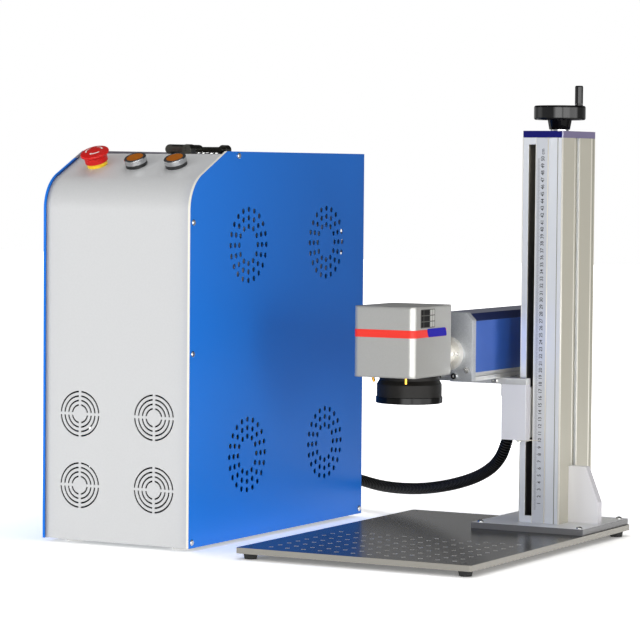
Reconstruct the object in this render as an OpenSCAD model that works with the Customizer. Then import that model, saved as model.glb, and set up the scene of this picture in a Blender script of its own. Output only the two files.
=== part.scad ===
/* [Layout] */
// Gap between the cabinet and the stand's base plate
stand_gap = 88; // [40:1:400]
// How far the cabinet's front stands behind the plate's front edge
cab_setback = 23; // [0:1:60]

/* [Cabinet] */
// Width over both side panels
cab_w = 239; // [225:1:320]
// Depth of the side panels
cab_d = 507; // [480:1:640]
// Height of the side panels
cab_h = 544; // [520:1:700]
// Sheet thickness of wrap, panels and trays
skin_t = 1.5; // [1:0.1:3]
// Depth of the side panels' folded edge
panel_edge = 3.8; // [3:0.1:8]
// How far the grey wrap lies behind the panels' edge
reveal = 4; // [3:0.5:8]
// Outer radius of the nose bend
nose_r = 55; // [40:1:80]
// Rise of the control slope in degrees
slope_deg = 26; // [18:1:35]
// Where the slope meets the top, from the front
brow_y = 98; // [90:1:140]
// Height of the rubber feet
cab_foot_h = 5; // [3:1:20]
// Radius of the rubber feet
cab_foot_r = 12.5; // [8:0.5:18]
// Distance of the feet from the cabinet's sides
cab_foot_inset = 32; // [22:1:60]
// Height of the tray's upturned edges
tray_edge = 12; // [8:1:20]
// Drop of the inner shelf below the cabinet's top
shelf_drop = 214; // [184:1:230]

/* [Cooling] */
// Side of a square cooling fan
fan_size = 80; // [70:1:92]
// Thickness of a fan
fan_t = 25; // [20:1:32]
// Distance of the fan centres from the cabinet's sides
fan_in_x = 59; // [50:0.5:62]
// Distance between fan centres up the front
fan_pitch_z = 100; // [96:1:140]
// Height of the lower fan centres
fan_z = 77; // [60:1:100]
// Number of fan blades
fan_blades = 7; // [5:1:9]
// Radius of the grille's outer slot ring
grille_r = 31; // [26:1:35]
// Distance between slot rings
grille_pitch = 6.2; // [5:0.1:7]
// Width of a slot
grille_slot = 2.3; // [1.5:0.1:3]
// Width of the cross that parts the slots
grille_bar = 3.7; // [2:0.1:6]
// Radius of the outer ring of round perforations
perf_r = 50; // [44:1:52]
// Distance between the three rings of perforations
perf_pitch = 12; // [9:0.5:14]
// Number of holes in the outer ring
perf_count = 20; // [14:2:22]
// Holes that each ring has fewer than the next one out
perf_fewer_count = 4; // [2:1:4]
// Radius of a perforation
perf_hole_r = 3.9; // [2.5:0.1:4.2]
// Front perforation groups, from the front
perf_y_front = 160; // [150:1:200]
// Rear perforation groups, from the cabinet's back
perf_in_y = 118; // [90:1:160]
// Height of the lower perforation groups
perf_z_low = 117; // [90:1:160]
// Drop of the upper perforation groups below the cabinet's top
perf_drop = 131; // [100:1:170]

/* [Controls] */
// Emergency stop, from the cabinet's left side
stop_x = 46.5; // [40:0.5:60]
// Distance between the controls
control_pitch = 65; // [50:0.5:68]
// Controls, from the front along the cabinet
control_y = 66; // [58:1:75]
// Radius of the stop's yellow collar
stop_collar_r = 14.6; // [12:0.1:16]
// Height of the stop's yellow collar
stop_collar_h = 6; // [5:0.5:10]
// Radius of the red mushroom
stop_head_r = 20.6; // [18:0.1:24]
// Height of the mushroom's top above the slope
stop_head_top = 23.5; // [22:0.5:32]
// Travel of the stop
stop_travel = 5; // [3:0.5:6]
// Radius of a push button's steel bezel
bezel_r = 15.9; // [15.5:0.1:18]
// Height of a push button
button_h = 12.5; // [12:0.5:22]
// Travel of a push button
button_travel = 3; // [2:0.1:4]

/* [Carry handle] */
// Length of the handle's base
handle_l = 115; // [90:1:160]
// Reach of the folded bail
handle_reach = 38; // [30:1:55]
// Radius of the grip
grip_r = 7; // [5:0.1:9]
// Middle of the handle, from the cabinet's front
handle_y = 220; // [190:1:300]
// Hinge of the handle, from the cabinet's left side
handle_in_x = 134; // [80:1:180]

/* [Stand] */
// Width of the base plate
plate_w = 351; // [320:1:450]
// Depth of the base plate at its right edge
plate_d = 531; // [480:1:600]
// Thickness of the base plate
plate_t = 8; // [6:0.5:15]
// Start of the rear tongue, from the left edge
tongue_x = 143; // [120:1:150]
// Width of the rear tongue
tongue_w = 128; // [100:1:160]
// Depth of the rear tongue
tongue_d = 81; // [78:1:120]
// Height of the plate's rubber feet
plate_foot_h = 8; // [5:1:20]
// Radius of the plate's rubber feet
plate_foot_r = 10; // [8:0.5:12]
// Distance of the plate's feet from its edges
plate_foot_inset = 15; // [13:0.5:22]
// Distance between the threaded holes
hole_pitch = 25; // [20:1:25]
// Threaded holes across
holes_x = 12; // [4:1:12]
// Threaded holes from front to back
holes_y = 9; // [4:1:10]
// Radius of a threaded hole
hole_r = 2.1; // [1.6:0.1:2.6]
// First row of holes, from the front
hole_front = 30; // [28:1:60]

/* [Column] */
// Width of the column extrusion
col_w = 62.4; // [60:0.1:80]
// Depth of the column extrusion
col_d = 114.7; // [110:0.1:130]
// Height of the column extrusion
col_h = 548; // [480:1:620]
// Thickness of the column's walls
col_wall = 7; // [6:0.1:8]
// Width of the slot in the front
slot_w = 11; // [9:0.1:12]
// Slot, from the column's left edge
slot_x = 9.4; // [9:0.1:11]
// Thickness of the top cap
cap_t = 9.6; // [8:0.1:14]
// Width of the foot block
block_w = 173; // [165:1:180]
// Depth of the foot block
block_d = 163; // [158:1:163]
// Thickness of the foot block
block_t = 8.6; // [6:0.1:12]
// Column, from the foot block's left edge
col_in_x = 56; // [50:1:58]
// Column, from the foot block's front edge
col_in_y = 39.3; // [36:0.1:41]
// Foot block, from the plate's right edge
block_inset = 3; // [2:1:6]
// Radius of the guide rods
rod_r = 6; // [5:0.5:7]
// Radius of the lead screw
screw_r = 8; // [7:0.5:9]
// Radius of the lead screw's journals
journal_r = 6; // [5:0.5:6.5]

/* [Handwheel] */
// Radius of the rim
wheel_r = 37; // [34:0.5:50]
// Height of the rim
rim_h = 20.5; // [16:0.5:26]
// Height of the fluted hub below the rim
hub_h = 13.5; // [8:0.5:16]
// Radius of the hub's foot
hub_foot_r = 14.8; // [13:0.1:17]
// Radius of the crank grip
crank_r = 5.8; // [4:0.1:8]
// Length of the crank grip
crank_l = 26; // [20:0.5:60]

/* [Carriage and arm] */
// Height of the carriage plate above the foot block at rest
car_rest = 118.6; // [115:0.1:200]
// Width of the carriage plate
car_w = 38.3; // [34:0.1:40]
// Thickness of the carriage plate
car_t = 15; // [12:0.1:20]
// Height of the carriage plate
car_h = 79; // [75:1:100]
// Gap between the carriage plate and the column
car_gap = 3.3; // [2:0.1:5]
// Thickness of the bracket plate
bracket_t = 9; // [7:0.1:14]
// Depth of the bracket under the arm
bracket_d = 82; // [78:1:120]
// Gap between the arm and the column's side
arm_gap = 21; // [19:0.1:30]
// Reach of the arm's front plate ahead of the column
arm_reach = 116; // [100:1:160]
// Length of the arm tube
arm_l = 298; // [260:1:300]
// Width of the arm tube
arm_w = 76; // [72:1:90]
// Height of the arm tube
arm_h = 82; // [78:1:95]
// Wall of the arm tube
arm_wall = 3; // [2:0.1:4]
// Height of the rail under the arm tube
rail_h = 12; // [10:0.5:16]
// Thickness of the arm's front plate
end_t = 12; // [8:0.5:16]
// Chamfer of the arm's upper edges
arm_bevel = 10; // [6:0.5:14]

/* [Scan head] */
// Width of the head
head_w = 94; // [92:1:110]
// Depth of the head
head_d = 119; // [117:1:140]
// Height of the head
head_h = 97; // [95:1:115]
// Corner radius of the head
head_r = 8.5; // [6:0.5:12]
// Wall of the head
head_wall = 4; // [3:0.5:6]
// Distance from the head's rear to the arm's front plate
head_gap = 28; // [24:0.5:40]
// Beam axis, from the head's right side
beam_in = 21; // [20:0.5:24]
// Beam axis above the head's underside
beam_z = 26.8; // [25:0.1:29]
// Width of the red stripe
stripe_h = 10.7; // [6:0.1:16]
// Stripe above the head's underside
stripe_z = 54.6; // [50:0.1:60]
// Outer radius of the lens's lower ring
lens_r = 46.3; // [45:0.1:46.6]
// Height of the lens below the head
lens_h = 38.5; // [34:0.5:60]

/* [Hose] */
// Outer diameter of the corrugated hose
hose_d = 17.5; // [15:0.5:20]
// Bore of the hose
hose_bore = 12.5; // [10:0.5:13]
// Depth of a corrugation
rib_depth = 1; // [0.4:0.1:1.5]
// Number of corrugations
rib_count = 190; // [100:1:200]

/* [Hidden] */
$fn = 48;
// Overrun of every cut
over = 1;
// Running clearance of a shaft in its bore
run_fit = 0.05;
// Play between a fixed piece and its hole
play = 0.15;
// Gap of a piece that slides past another
slide_gap = 0.4;
// Height of a panel screw's head, which stands out at the left
screw_head_h = 2.2;

// The whole machine stands centred on the origin
overall_w = screw_head_h + cab_w + stand_gap + plate_w;
overall_d = plate_d + tongue_d;
cab_x = -overall_w / 2 + screw_head_h;
plate_x = cab_x + cab_w + stand_gap;
plate_x2 = plate_x + plate_w;
plate_y = -overall_d / 2;
cab_y = plate_y + cab_setback;
plate_top = plate_foot_h + plate_t;
block_top = plate_top + block_t;
col_top = block_top + col_h;
cap_top = col_top + cap_t;
block_x = plate_x2 - block_inset - block_w;
block_y = plate_y + plate_d - block_inset / 3 - block_d;
col_x = block_x + col_in_x;
col_y = block_y + col_in_y;
col_cx = col_x + col_w / 2;
col_cy = col_y + col_d / 2;

// Cabinet outline: a bend on the front, a slope and a flat top
nose_z = cab_h - (brow_y - nose_r) * tan(slope_deg) - nose_r / cos(slope_deg);
nose_steps = 28;
function slope_start(inset) = [nose_r - (nose_r - inset) * sin(slope_deg),
    nose_z + (nose_r - inset) * cos(slope_deg)];
function slope_end_y(inset) = slope_start(inset)[0]
    + (cab_h - inset - slope_start(inset)[1]) / tan(slope_deg);
control_z = slope_start(reveal)[1] + (control_y - slope_start(reveal)[0]) * tan(slope_deg);
shelf_z = cab_h - shelf_drop;
wrap_top = cab_foot_h + cab_h - reveal;
inner_back = cab_d - reveal;

module cab_outline(inset, low, back) {
    nose = [for (k = [0 : nose_steps]) let (turn = k * (90 - slope_deg) / nose_steps)
        [nose_r - (nose_r - inset) * cos(turn), nose_z + (nose_r - inset) * sin(turn)]];
    polygon(concat([[inset, low]], nose,
        [[slope_end_y(inset), cab_h - inset], [back, cab_h - inset], [back, low]]));
}

// Lay a drawing of depth and height on a plane across the cabinet
module across(x, thick) {
    translate([cab_x + x, cab_y, cab_foot_h]) rotate([90, 0, 90]) linear_extrude(thick) children();
}

// Stand on the control slope at one of the three controls
module on_slope(index) {
    translate([cab_x + stop_x + index * control_pitch, cab_y + control_y, cab_foot_h + control_z])
        rotate([slope_deg, 0, 0]) children();
}

module along_y(x, y, z) {
    translate([x, y, z]) rotate([-90, 0, 0]) children();
}

// Square prism with round upright corners
module round_rect(size, r) {
    translate([r, 0]) square([size[0] - 2 * r, size[1]]);
    translate([0, r]) square([size[0], size[1] - 2 * r]);
    for (x = [r, size[0] - r], y = [r, size[1] - r]) translate([x, y]) circle(r);
}

// Values of the fans
fan_cx = [for (i = [0 : 3]) cab_x + (i % 2 == 0 ? fan_in_x : cab_w - fan_in_x)];
fan_cz = [for (i = [0 : 3]) cab_foot_h + fan_z + (i < 2 ? 0 : fan_pitch_z)];
fan_y = cab_y + reveal + skin_t;
fan_bore_r = fan_size / 2 - 2;
fan_hub_r = fan_size / 4 - 3;
fan_tip_gap = 1;
fan_strut = 3;
fan_pin_r = 2;
fan_hole_r = 2.2;
fan_hole_in = 4.5;
rotor_gap = 1.5;
blade_t = 1.6;
blade_deg = 38;
stop_hole_r = 11;
button_tail_r = 11;

module grille_cut(x, z) {
    difference() {
        for (k = [0 : 3]) along_y(x, cab_y, z) difference() {
            cylinder(r = grille_r - k * grille_pitch + grille_slot / 2, h = 2 * reveal);
            translate([0, 0, -over])
                cylinder(r = grille_r - k * grille_pitch - grille_slot / 2,
                    h = 2 * reveal + 2 * over);
        }
        for (turn = [0, 90]) translate([x, cab_y, z]) rotate([0, turn, 0])
            translate([-grille_r - grille_slot, -over, -grille_bar / 2])
                cube([2 * (grille_r + grille_slot), 2 * (reveal + over), grille_bar]);
    }
}

// Bent sheet that makes the front, the slope and the top
module front_wrap() {
    color("gainsboro") difference() {
        across(skin_t, cab_w - 2 * skin_t) difference() {
            cab_outline(reveal, 0, inner_back - skin_t);
            cab_outline(reveal + skin_t, -over, cab_d + over);
        }
        for (i = [0 : 3]) grille_cut(fan_cx[i], fan_cz[i]);
        on_slope(0) cylinder(r = stop_hole_r + play, h = 4 * reveal, center = true);
        for (i = [1, 2]) on_slope(i)
            cylinder(r = button_tail_r + play, h = 4 * reveal, center = true);
    }
}

// Screws that hold the side panels: places as depth and height
screw_in = 8;
screw_head_r = 4.2;
screw_shank_r = 2;
screw_shank_l = 8;
screw_up_shares = [0.49, 0.82];
screw_places = [[brow_y + 4 * screw_in, cab_h - reveal - screw_shank_r],
    [screw_in, cab_h * screw_up_shares[1]],
    [screw_in, cab_h * screw_up_shares[0]],
    [screw_in, screw_in],
    [cab_d - screw_in, screw_in]];

module perforations() {
    for (y = [perf_y_front, cab_d - perf_in_y], z = [perf_z_low, cab_h - perf_drop], k = [0 : 2])
        let (count = perf_count - k * perf_fewer_count) for (i = [0 : count - 1]) translate([y, z])
            rotate(90 + i * 360 / count) translate([perf_r - k * perf_pitch, 0])
                circle(perf_hole_r, $fn = 24);
}

// Flat panel with a folded edge all round; the fold faces the wrap
module side_panel(x_skin, x_edge) {
    across(x_skin, skin_t) difference() {
        cab_outline(0, 0, cab_d);
        perforations();
        for (p = screw_places) translate(p) circle(screw_shank_r + play, $fn = 24);
    }
    across(x_edge, panel_edge) difference() {
        cab_outline(0, 0, cab_d);
        cab_outline(skin_t, -over, cab_d - skin_t);
    }
}

module side_panel_left() {
    color("royalblue") side_panel(0, 0);
}

module side_panel_right() {
    color("royalblue") side_panel(cab_w - skin_t, cab_w - panel_edge);
}

// Values of the rear panel and what it holds
gland_x = 74.5;
gland_z = 55;
gland_thread_r = 11;
inlet_in_x = 64;
inlet_x = cab_w - inlet_in_x;
inlet_z = 60;
inlet_w = 50;
inlet_h = 28;
inlet_body_w = 46;
inlet_body_h = 24;
rear_slots = 9;
rear_slot_w = 60;
rear_slot_h = 5;
rear_slot_pitch = 12;
rear_slot_z = 330;

module rear_panel() {
    y = cab_y + inner_back - skin_t;
    color("gainsboro") difference() {
        translate([cab_x + skin_t, y, cab_foot_h])
            cube([cab_w - 2 * skin_t, skin_t, cab_h - reveal]);
        along_y(cab_x + gland_x, y - over, cab_foot_h + gland_z)
            cylinder(r = gland_thread_r + play, h = skin_t + 2 * over);
        translate([cab_x + inlet_x - inlet_body_w / 2 - play, y - over,
            cab_foot_h + inlet_z - inlet_body_h / 2 - play])
            cube([inlet_body_w + 2 * play, skin_t + 2 * over, inlet_body_h + 2 * play]);
        for (i = [0 : rear_slots - 1], side = [1 / 4, 3 / 4])
            translate([cab_x + cab_w * side - rear_slot_w / 2, y - over,
                cab_foot_h + rear_slot_z + i * rear_slot_pitch])
                cube([rear_slot_w, skin_t + 2 * over, rear_slot_h]);
    }
}

tray_x = skin_t;
tray_w = cab_w - 2 * skin_t;
tray_y = reveal + skin_t;
tray_d = inner_back - skin_t - tray_y;
foot_spots = [for (x = [cab_foot_inset, cab_w - cab_foot_inset],
    y = [cab_foot_inset, cab_d - cab_foot_inset]) [x, y]];

// Floor of the cabinet, with its edges turned up
module base_tray() {
    color("lightgray") translate([cab_x + tray_x, cab_y + tray_y, cab_foot_h]) difference() {
        cube([tray_w, tray_d, tray_edge]);
        translate([skin_t, skin_t, skin_t])
            cube([tray_w - 2 * skin_t, tray_d - 2 * skin_t, tray_edge]);
    }
}

module cabinet_feet() {
    color("black") for (p = foot_spots) translate([cab_x + p[0], cab_y + p[1], 0])
        cylinder(r1 = cab_foot_r - screw_head_h, r2 = cab_foot_r, h = cab_foot_h);
}

// Domed head with its shank, pointing up
module domed_screw(shank_l) {
    rotate_extrude() intersection() {
        translate([0, -screw_head_h]) circle(screw_head_r + screw_head_h / 2);
        square([screw_head_r, screw_head_h]);
    }
    translate([0, 0, -shank_l]) cylinder(r = screw_shank_r, h = shank_l);
}

module panel_screws() {
    color("silver") {
        for (p = screw_places) {
            translate([cab_x + cab_w, cab_y + p[0], cab_foot_h + p[1]])
                rotate([0, 90, 0]) domed_screw(skin_t);
            translate([cab_x, cab_y + p[0], cab_foot_h + p[1]])
                rotate([0, -90, 0]) domed_screw(skin_t);
        }
        for (y = handle_screw_ys) translate([handle_x, y, wrap_top + handle_plate_t])
            domed_screw(handle_plate_t);
    }
}

module fan_frame() {
    translate([-fan_size / 2, -fan_size / 2, 0]) difference() {
        cube([fan_size, fan_size, fan_t]);
        translate([fan_size / 2, fan_size / 2, -over])
            cylinder(r = fan_bore_r, h = fan_t + 2 * over);
        for (x = [fan_hole_in, fan_size - fan_hole_in], y = [fan_hole_in, fan_size - fan_hole_in])
            translate([x, y, -over]) cylinder(r = fan_hole_r, h = fan_t + 2 * over, $fn = 24);
    }
    translate([0, 0, fan_t - fan_strut]) {
        cylinder(r = fan_hub_r, h = fan_strut);
        for (turn = [45 : 90 : 315]) rotate(turn) translate([fan_hub_r - over, -fan_strut / 2, 0])
            cube([fan_bore_r - fan_hub_r + 2 * over, fan_strut, fan_strut]);
    }
    translate([0, 0, rotor_gap + fan_strut + slide_gap])
        cylinder(r = fan_pin_r, h = fan_t - rotor_gap - slide_gap - 2 * fan_strut + over);
}

module fan_frames() {
    color("dimgray") for (i = [0 : 3]) along_y(fan_cx[i], fan_y, fan_cz[i]) fan_frame();
}

// Hub with pitched blades; it turns on the frame's pin
module fan_rotor(i) {
    hub_l = fan_t - fan_strut - 2 * rotor_gap;
    blade_l = hub_l - 2 * rotor_gap;
    reach = fan_bore_r - fan_tip_gap;
    color("darkslategray") along_y(fan_cx[i], fan_y + rotor_gap, fan_cz[i]) difference() {
        union() {
            cylinder(r = fan_hub_r, h = hub_l);
            intersection() {
                cylinder(r = reach, h = hub_l);
                for (k = [0 : fan_blades - 1]) rotate(k * 360 / fan_blades)
                    translate([fan_hub_r - over, 0, hub_l / 2])
                        rotate([blade_deg, 0, 0])
                            translate([0, -blade_l / 2, -blade_t / 2])
                                cube([fan_size, blade_l, blade_t]);
            }
        }
        translate([0, 0, fan_strut]) cylinder(r = fan_pin_r + run_fit, h = hub_l);
    }
}

module fan_rotor_1() { fan_rotor(0); }

module fan_rotor_2() { fan_rotor(1); }

module fan_rotor_3() { fan_rotor(2); }

module fan_rotor_4() { fan_rotor(3); }

// Values of the boxes inside
shelf_edge = 10;
shelf_y = fan_t + 4 * reveal + tray_y;
shelf_d = inner_back - skin_t - shelf_y;
source_w = 190;
source_h = 108;
source_in_y = 24;
source_fins = 9;
fin_depth = 4;
case_t = 3;
supply_w = 130;
supply_h = 93;
supply_x = 56;
supply_in_y = 20;
supply_tail = 40;
board_t = 1.6;
board_l = 104;
board_h = 74;
chip_size = 18;
chip_t = 3;
coil_r = 34;
coil_tube_r = 16;
coil_bolt_r = 4;
coil_cap_t = 3;

// Shelf folded down at both sides, which are fixed to the side panels
module inner_shelf() {
    color("lightgray")
        translate([cab_x + skin_t, cab_y + shelf_y, cab_foot_h + shelf_z - shelf_edge])
            difference() {
        cube([tray_w, shelf_d, shelf_edge]);
        translate([skin_t, -over, -skin_t])
            cube([tray_w - 2 * skin_t, shelf_d + 2 * over, shelf_edge]);
    }
}

// Case of the laser source, open below, with cooling fins on top
module laser_source() {
    x = cab_x + (cab_w - source_w) / 2;
    y = cab_y + shelf_y + source_in_y;
    depth = shelf_d - 2 * source_in_y;
    pitch = (source_w - fin_depth) / source_fins;
    color("whitesmoke") translate([x, y, cab_foot_h + shelf_z]) difference() {
        cube([source_w, depth, source_h]);
        for (i = [0 : source_fins - 1])
            translate([fin_depth + i * pitch, -over, source_h - fin_depth])
                cube([pitch - fin_depth, depth + 2 * over, fin_depth + over]);
        translate([case_t, case_t, -over]) cube([source_w - 2 * case_t, depth - 2 * case_t,
            source_h - fin_depth - case_t + over]);
    }
}

supply_y = cab_y + shelf_y + supply_in_y;
supply_d = shelf_d - supply_in_y - supply_tail;
supply_z = cab_foot_h + skin_t;

// Case of the power supply, open below
module power_supply() {
    color("silver") difference() {
        translate([cab_x + supply_x, supply_y, supply_z]) cube([supply_w, supply_d, supply_h]);
        for (i = [0 : source_fins - 1]) translate([cab_x + supply_x + supply_w - fin_depth / 2,
            supply_y + supply_d / 4 + i * 3 * fin_depth, supply_z + supply_h / 4])
            cube([fin_depth, fin_depth, supply_h / 2]);
        translate([cab_x + supply_x + case_t, supply_y + case_t, supply_z - over])
            cube([supply_w - 2 * case_t, supply_d - 2 * case_t, supply_h - case_t + over]);
    }
}

// Circuit board standing on the power supply, with its chips and a connector
module control_board() {
    x = cab_x + supply_x + supply_w - chip_size;
    color("seagreen") translate([x, supply_y + chip_size, supply_z + supply_h]) {
        cube([board_t, board_l, board_h]);
        for (i = [0 : 2])
            translate([board_t - over, chip_size / 2 + i * (chip_size + chip_size / 2),
                board_h / 2])
                cube([chip_t + over, chip_size, chip_size]);
        translate([board_t - over, board_l - chip_size, chip_t])
            cube([chip_size / 2 + over, chip_size / 2, board_h - 2 * chip_t]);
    }
}

// Ring core transformer, clamped under a disc by its middle bolt
module transformer() {
    color("goldenrod")
        translate([cab_x + supply_x + supply_w / 2, cab_y + cab_d - perf_in_y, supply_z + supply_h]) {
        rotate_extrude() {
            translate([coil_r, coil_tube_r]) circle(coil_tube_r);
            translate([coil_r - coil_tube_r, 0]) square([2 * coil_tube_r, coil_tube_r]);
        }
        translate([0, 0, 2 * coil_tube_r - over]) cylinder(r = coil_r, h = coil_cap_t + over);
        cylinder(r = coil_bolt_r, h = 2 * coil_tube_r + 2 * coil_cap_t);
    }
}

// Values of the emergency stop
stop_tail_l = 30;
stop_block = 26;
stop_block_h = 20;
stop_stem_r = 8;
stop_neck_r = 5;
stop_skirt_r = 16.4;
stop_skirt_in = 15;
stop_cave_h = stop_collar_h + stop_travel + slide_gap;
stop_flare_h = 14;
stop_wide_h = 17.5;
stop_round = 2.5;
stop_seat = 0.3;

module stop_base() {
    color("gold") on_slope(0) difference() {
        union() {
            cylinder(r = stop_collar_r, h = stop_collar_h);
            translate([0, 0, -stop_tail_l])
                cylinder(r = stop_hole_r, h = stop_tail_l + over);
            translate([-stop_block / 2, -stop_block / 2, -stop_tail_l - stop_block_h])
                cube([stop_block, stop_block, stop_block_h]);
        }
        translate([0, 0, -stop_tail_l + over])
            cylinder(r = stop_stem_r + run_fit, h = stop_tail_l + stop_head_top);
    }
}

module stop_stem() {
    color("darkred") on_slope(0) {
        translate([0, 0, -stop_tail_l + over + stop_travel + slide_gap])
            cylinder(r = stop_stem_r,
                h = stop_tail_l - over - stop_travel + stop_cave_h - slide_gap - stop_seat);
        cylinder(r = stop_neck_r, h = stop_wide_h + stop_round);
    }
}

// Mushroom head; its skirt slips over the collar when it is pushed
module stop_head() {
    neck_top = stop_wide_h + stop_round + stop_seat;
    color("red") on_slope(0) rotate_extrude($fn = 96) difference() {
        union() {
            polygon([[0, stop_collar_h], [stop_skirt_r, stop_collar_h],
                [stop_skirt_r, stop_flare_h], [stop_head_r, stop_wide_h],
                [stop_head_r, stop_head_top - 2 * stop_round],
                [stop_head_r - stop_round, stop_head_top - stop_round],
                [0, stop_head_top - stop_round]]);
            translate([stop_head_r - stop_round, stop_head_top - 2 * stop_round])
                circle(stop_round);
            square_dome(stop_head_r - stop_round, stop_head_top - 2 * stop_round,
                stop_head_top);
        }
        translate([0, stop_collar_h - over])
            square([stop_skirt_in, stop_cave_h - stop_collar_h + over]);
        square([stop_neck_r + run_fit, neck_top]);
    }
}

// Shallow crown over a radius, between two heights, in a revolved drawing
module square_dome(r, low, high) {
    rise = (high - low) / 2;
    crown_r = (r * r + rise * rise) / (2 * rise);
    intersection() {
        translate([0, high - crown_r]) circle(crown_r, $fn = 192);
        translate([0, low]) square([r, high - low]);
    }
}

// Values of the push buttons
button_base_h = 5;
button_tail_l = 28;
button_stem_r = 9;
lens_disc_r = 11.8;
bezel_in_r = 12.1;
bezel_edge = 1;
lens_disc_h = 4;
button_nut_r = 15;
button_nut_h = 5;

module button_bodies() {
    color("black") for (i = [1, 2]) on_slope(i) difference() {
        union() {
            cylinder(r = bezel_r - slide_gap, h = button_base_h);
            translate([0, 0, -button_tail_l])
                cylinder(r = button_tail_r, h = button_tail_l + over);
            translate([0, 0, -skin_t - button_nut_h])
                cylinder(r = button_nut_r, h = button_nut_h);
        }
        translate([0, 0, -button_tail_l + over])
            cylinder(r = button_stem_r + run_fit, h = button_tail_l + button_h);
    }
}

module button_bezels() {
    color("silver") for (i = [1, 2]) on_slope(i) rotate_extrude()
        polygon([[bezel_in_r, button_base_h], [bezel_r, button_base_h],
            [bezel_r, button_h - bezel_edge], [bezel_r - bezel_edge, button_h],
            [bezel_in_r, button_h]]);
}

module button_lens(i) {
    stem_low = -button_tail_l + over + button_travel + slide_gap;
    color("darkorange") on_slope(i) {
        translate([0, 0, button_h - lens_disc_h]) cylinder(r = lens_disc_r, h = lens_disc_h);
        translate([0, 0, stem_low])
            cylinder(r = button_stem_r, h = button_h - lens_disc_h - stem_low + over);
    }
}

module button_lens_1() { button_lens(1); }

module button_lens_2() { button_lens(2); }

// Values of the carry handle
handle_plate_t = 1.5;
handle_plate_w = 22;
ear_l = 14;
ear_w = 14;
pivot_r = 3;
bail_r = 4;
grip_end = 3;
handle_pivot_z = wrap_top + grip_r + slide_gap;
handle_x = cab_x + handle_in_x;
handle_y1 = cab_y + handle_y - handle_l / 2;
handle_y2 = cab_y + handle_y + handle_l / 2;
handle_screw_ys = [for (share = [0.28, 0.4, 0.6, 0.72]) handle_y1 + share * handle_l];

// Plate with an ear at each end, which carries the bail
module handle_base() {
    color("dimgray") difference() {
        union() {
            translate([handle_x - handle_plate_w / 2, handle_y1, wrap_top])
                cube([handle_plate_w, handle_l, handle_plate_t]);
            for (y = [handle_y1, handle_y2 - ear_l]) {
                translate([handle_x - ear_w / 2, y, wrap_top])
                    cube([ear_w, ear_l, handle_pivot_z - wrap_top]);
                along_y(handle_x, y, handle_pivot_z) cylinder(r = ear_w / 2, h = ear_l);
            }
        }
        along_y(handle_x, handle_y1 - over, handle_pivot_z)
            cylinder(r = pivot_r + run_fit, h = handle_l + 2 * over);
        for (y = handle_screw_ys) translate([handle_x, y, wrap_top - over])
            cylinder(r = screw_shank_r + play, h = handle_plate_t + 2 * over, $fn = 24);
    }
}

// Bail with a round grip, folded flat to the left
module handle_bail() {
    y1 = handle_y1 + ear_l + slide_gap;
    y2 = handle_y2 - ear_l - slide_gap;
    color("black") {
        for (y = [y1, y2 - 2 * bail_r])
            translate([handle_x - handle_reach, y, handle_pivot_z - bail_r]) {
            cube([handle_reach, 2 * bail_r, 2 * bail_r]);
            along_y(handle_reach, 0, bail_r) cylinder(r = bail_r, h = 2 * bail_r);
        }
        along_y(handle_x, y1 - ear_l + slide_gap, handle_pivot_z) cylinder(r = pivot_r, h = ear_l);
        along_y(handle_x, y2 - slide_gap, handle_pivot_z) cylinder(r = pivot_r, h = ear_l);
        along_y(handle_x - handle_reach, y1 + grip_end, handle_pivot_z)
            cylinder(r = grip_r, h = y2 - y1 - 2 * grip_end);
        for (y = [y1 + grip_end, y2 - grip_end])
            translate([handle_x - handle_reach, y, handle_pivot_z]) intersection() {
            sphere(grip_r);
            translate([-grip_r, -grip_end, -grip_r])
                cube([2 * grip_r, 2 * grip_end, 2 * grip_r]);
        }
    }
}

// Values of the inlet
inlet_flange_t = 2;
inlet_body_d = 26;
socket_w = 24;
socket_h = 16.5;
socket_d = 17;
socket_x = -8;
blade_w = 2;
blade_h = 4;
blade_l = 11;
blade_spots = [[-7, -2], [0, 2], [7, -2]];
rocker_w = 11;
rocker_h = 18;
rocker_d = 9;
rocker_x = 15;
rocker_pin_r = 1.5;
rocker_deg = 14;
rear_face = cab_y + inner_back;

// Mains inlet: a recess with three blades, beside the switch well
module power_inlet() {
    color("black") translate([cab_x + inlet_x, rear_face, cab_foot_h + inlet_z]) difference() {
        union() {
            translate([-inlet_w / 2, 0, -inlet_h / 2])
                cube([inlet_w, inlet_flange_t, inlet_h]);
            translate([-inlet_body_w / 2, -inlet_body_d, -inlet_body_h / 2])
                cube([inlet_body_w, inlet_body_d + over, inlet_body_h]);
        }
        difference() {
            translate([socket_x - socket_w / 2, inlet_flange_t - socket_d, -socket_h / 2])
                cube([socket_w, socket_d + over, socket_h]);
            for (p = blade_spots) translate([socket_x + p[0] - blade_w / 2,
                inlet_flange_t - socket_d - over, p[1] - blade_h / 2])
                cube([blade_w, blade_l + over, blade_h]);
        }
        translate([rocker_x - rocker_w / 2 - slide_gap, inlet_flange_t - rocker_d,
            -rocker_h / 2 - over])
            cube([rocker_w + 2 * slide_gap, rocker_d + over, rocker_h + 2 * over]);
        translate([rocker_x - rocker_w / 2 - slide_gap - over, 0, 0]) rotate([0, 90, 0])
            cylinder(r = rocker_pin_r + run_fit, h = rocker_w + 2 * slide_gap + 2 * over);
    }
}

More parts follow.
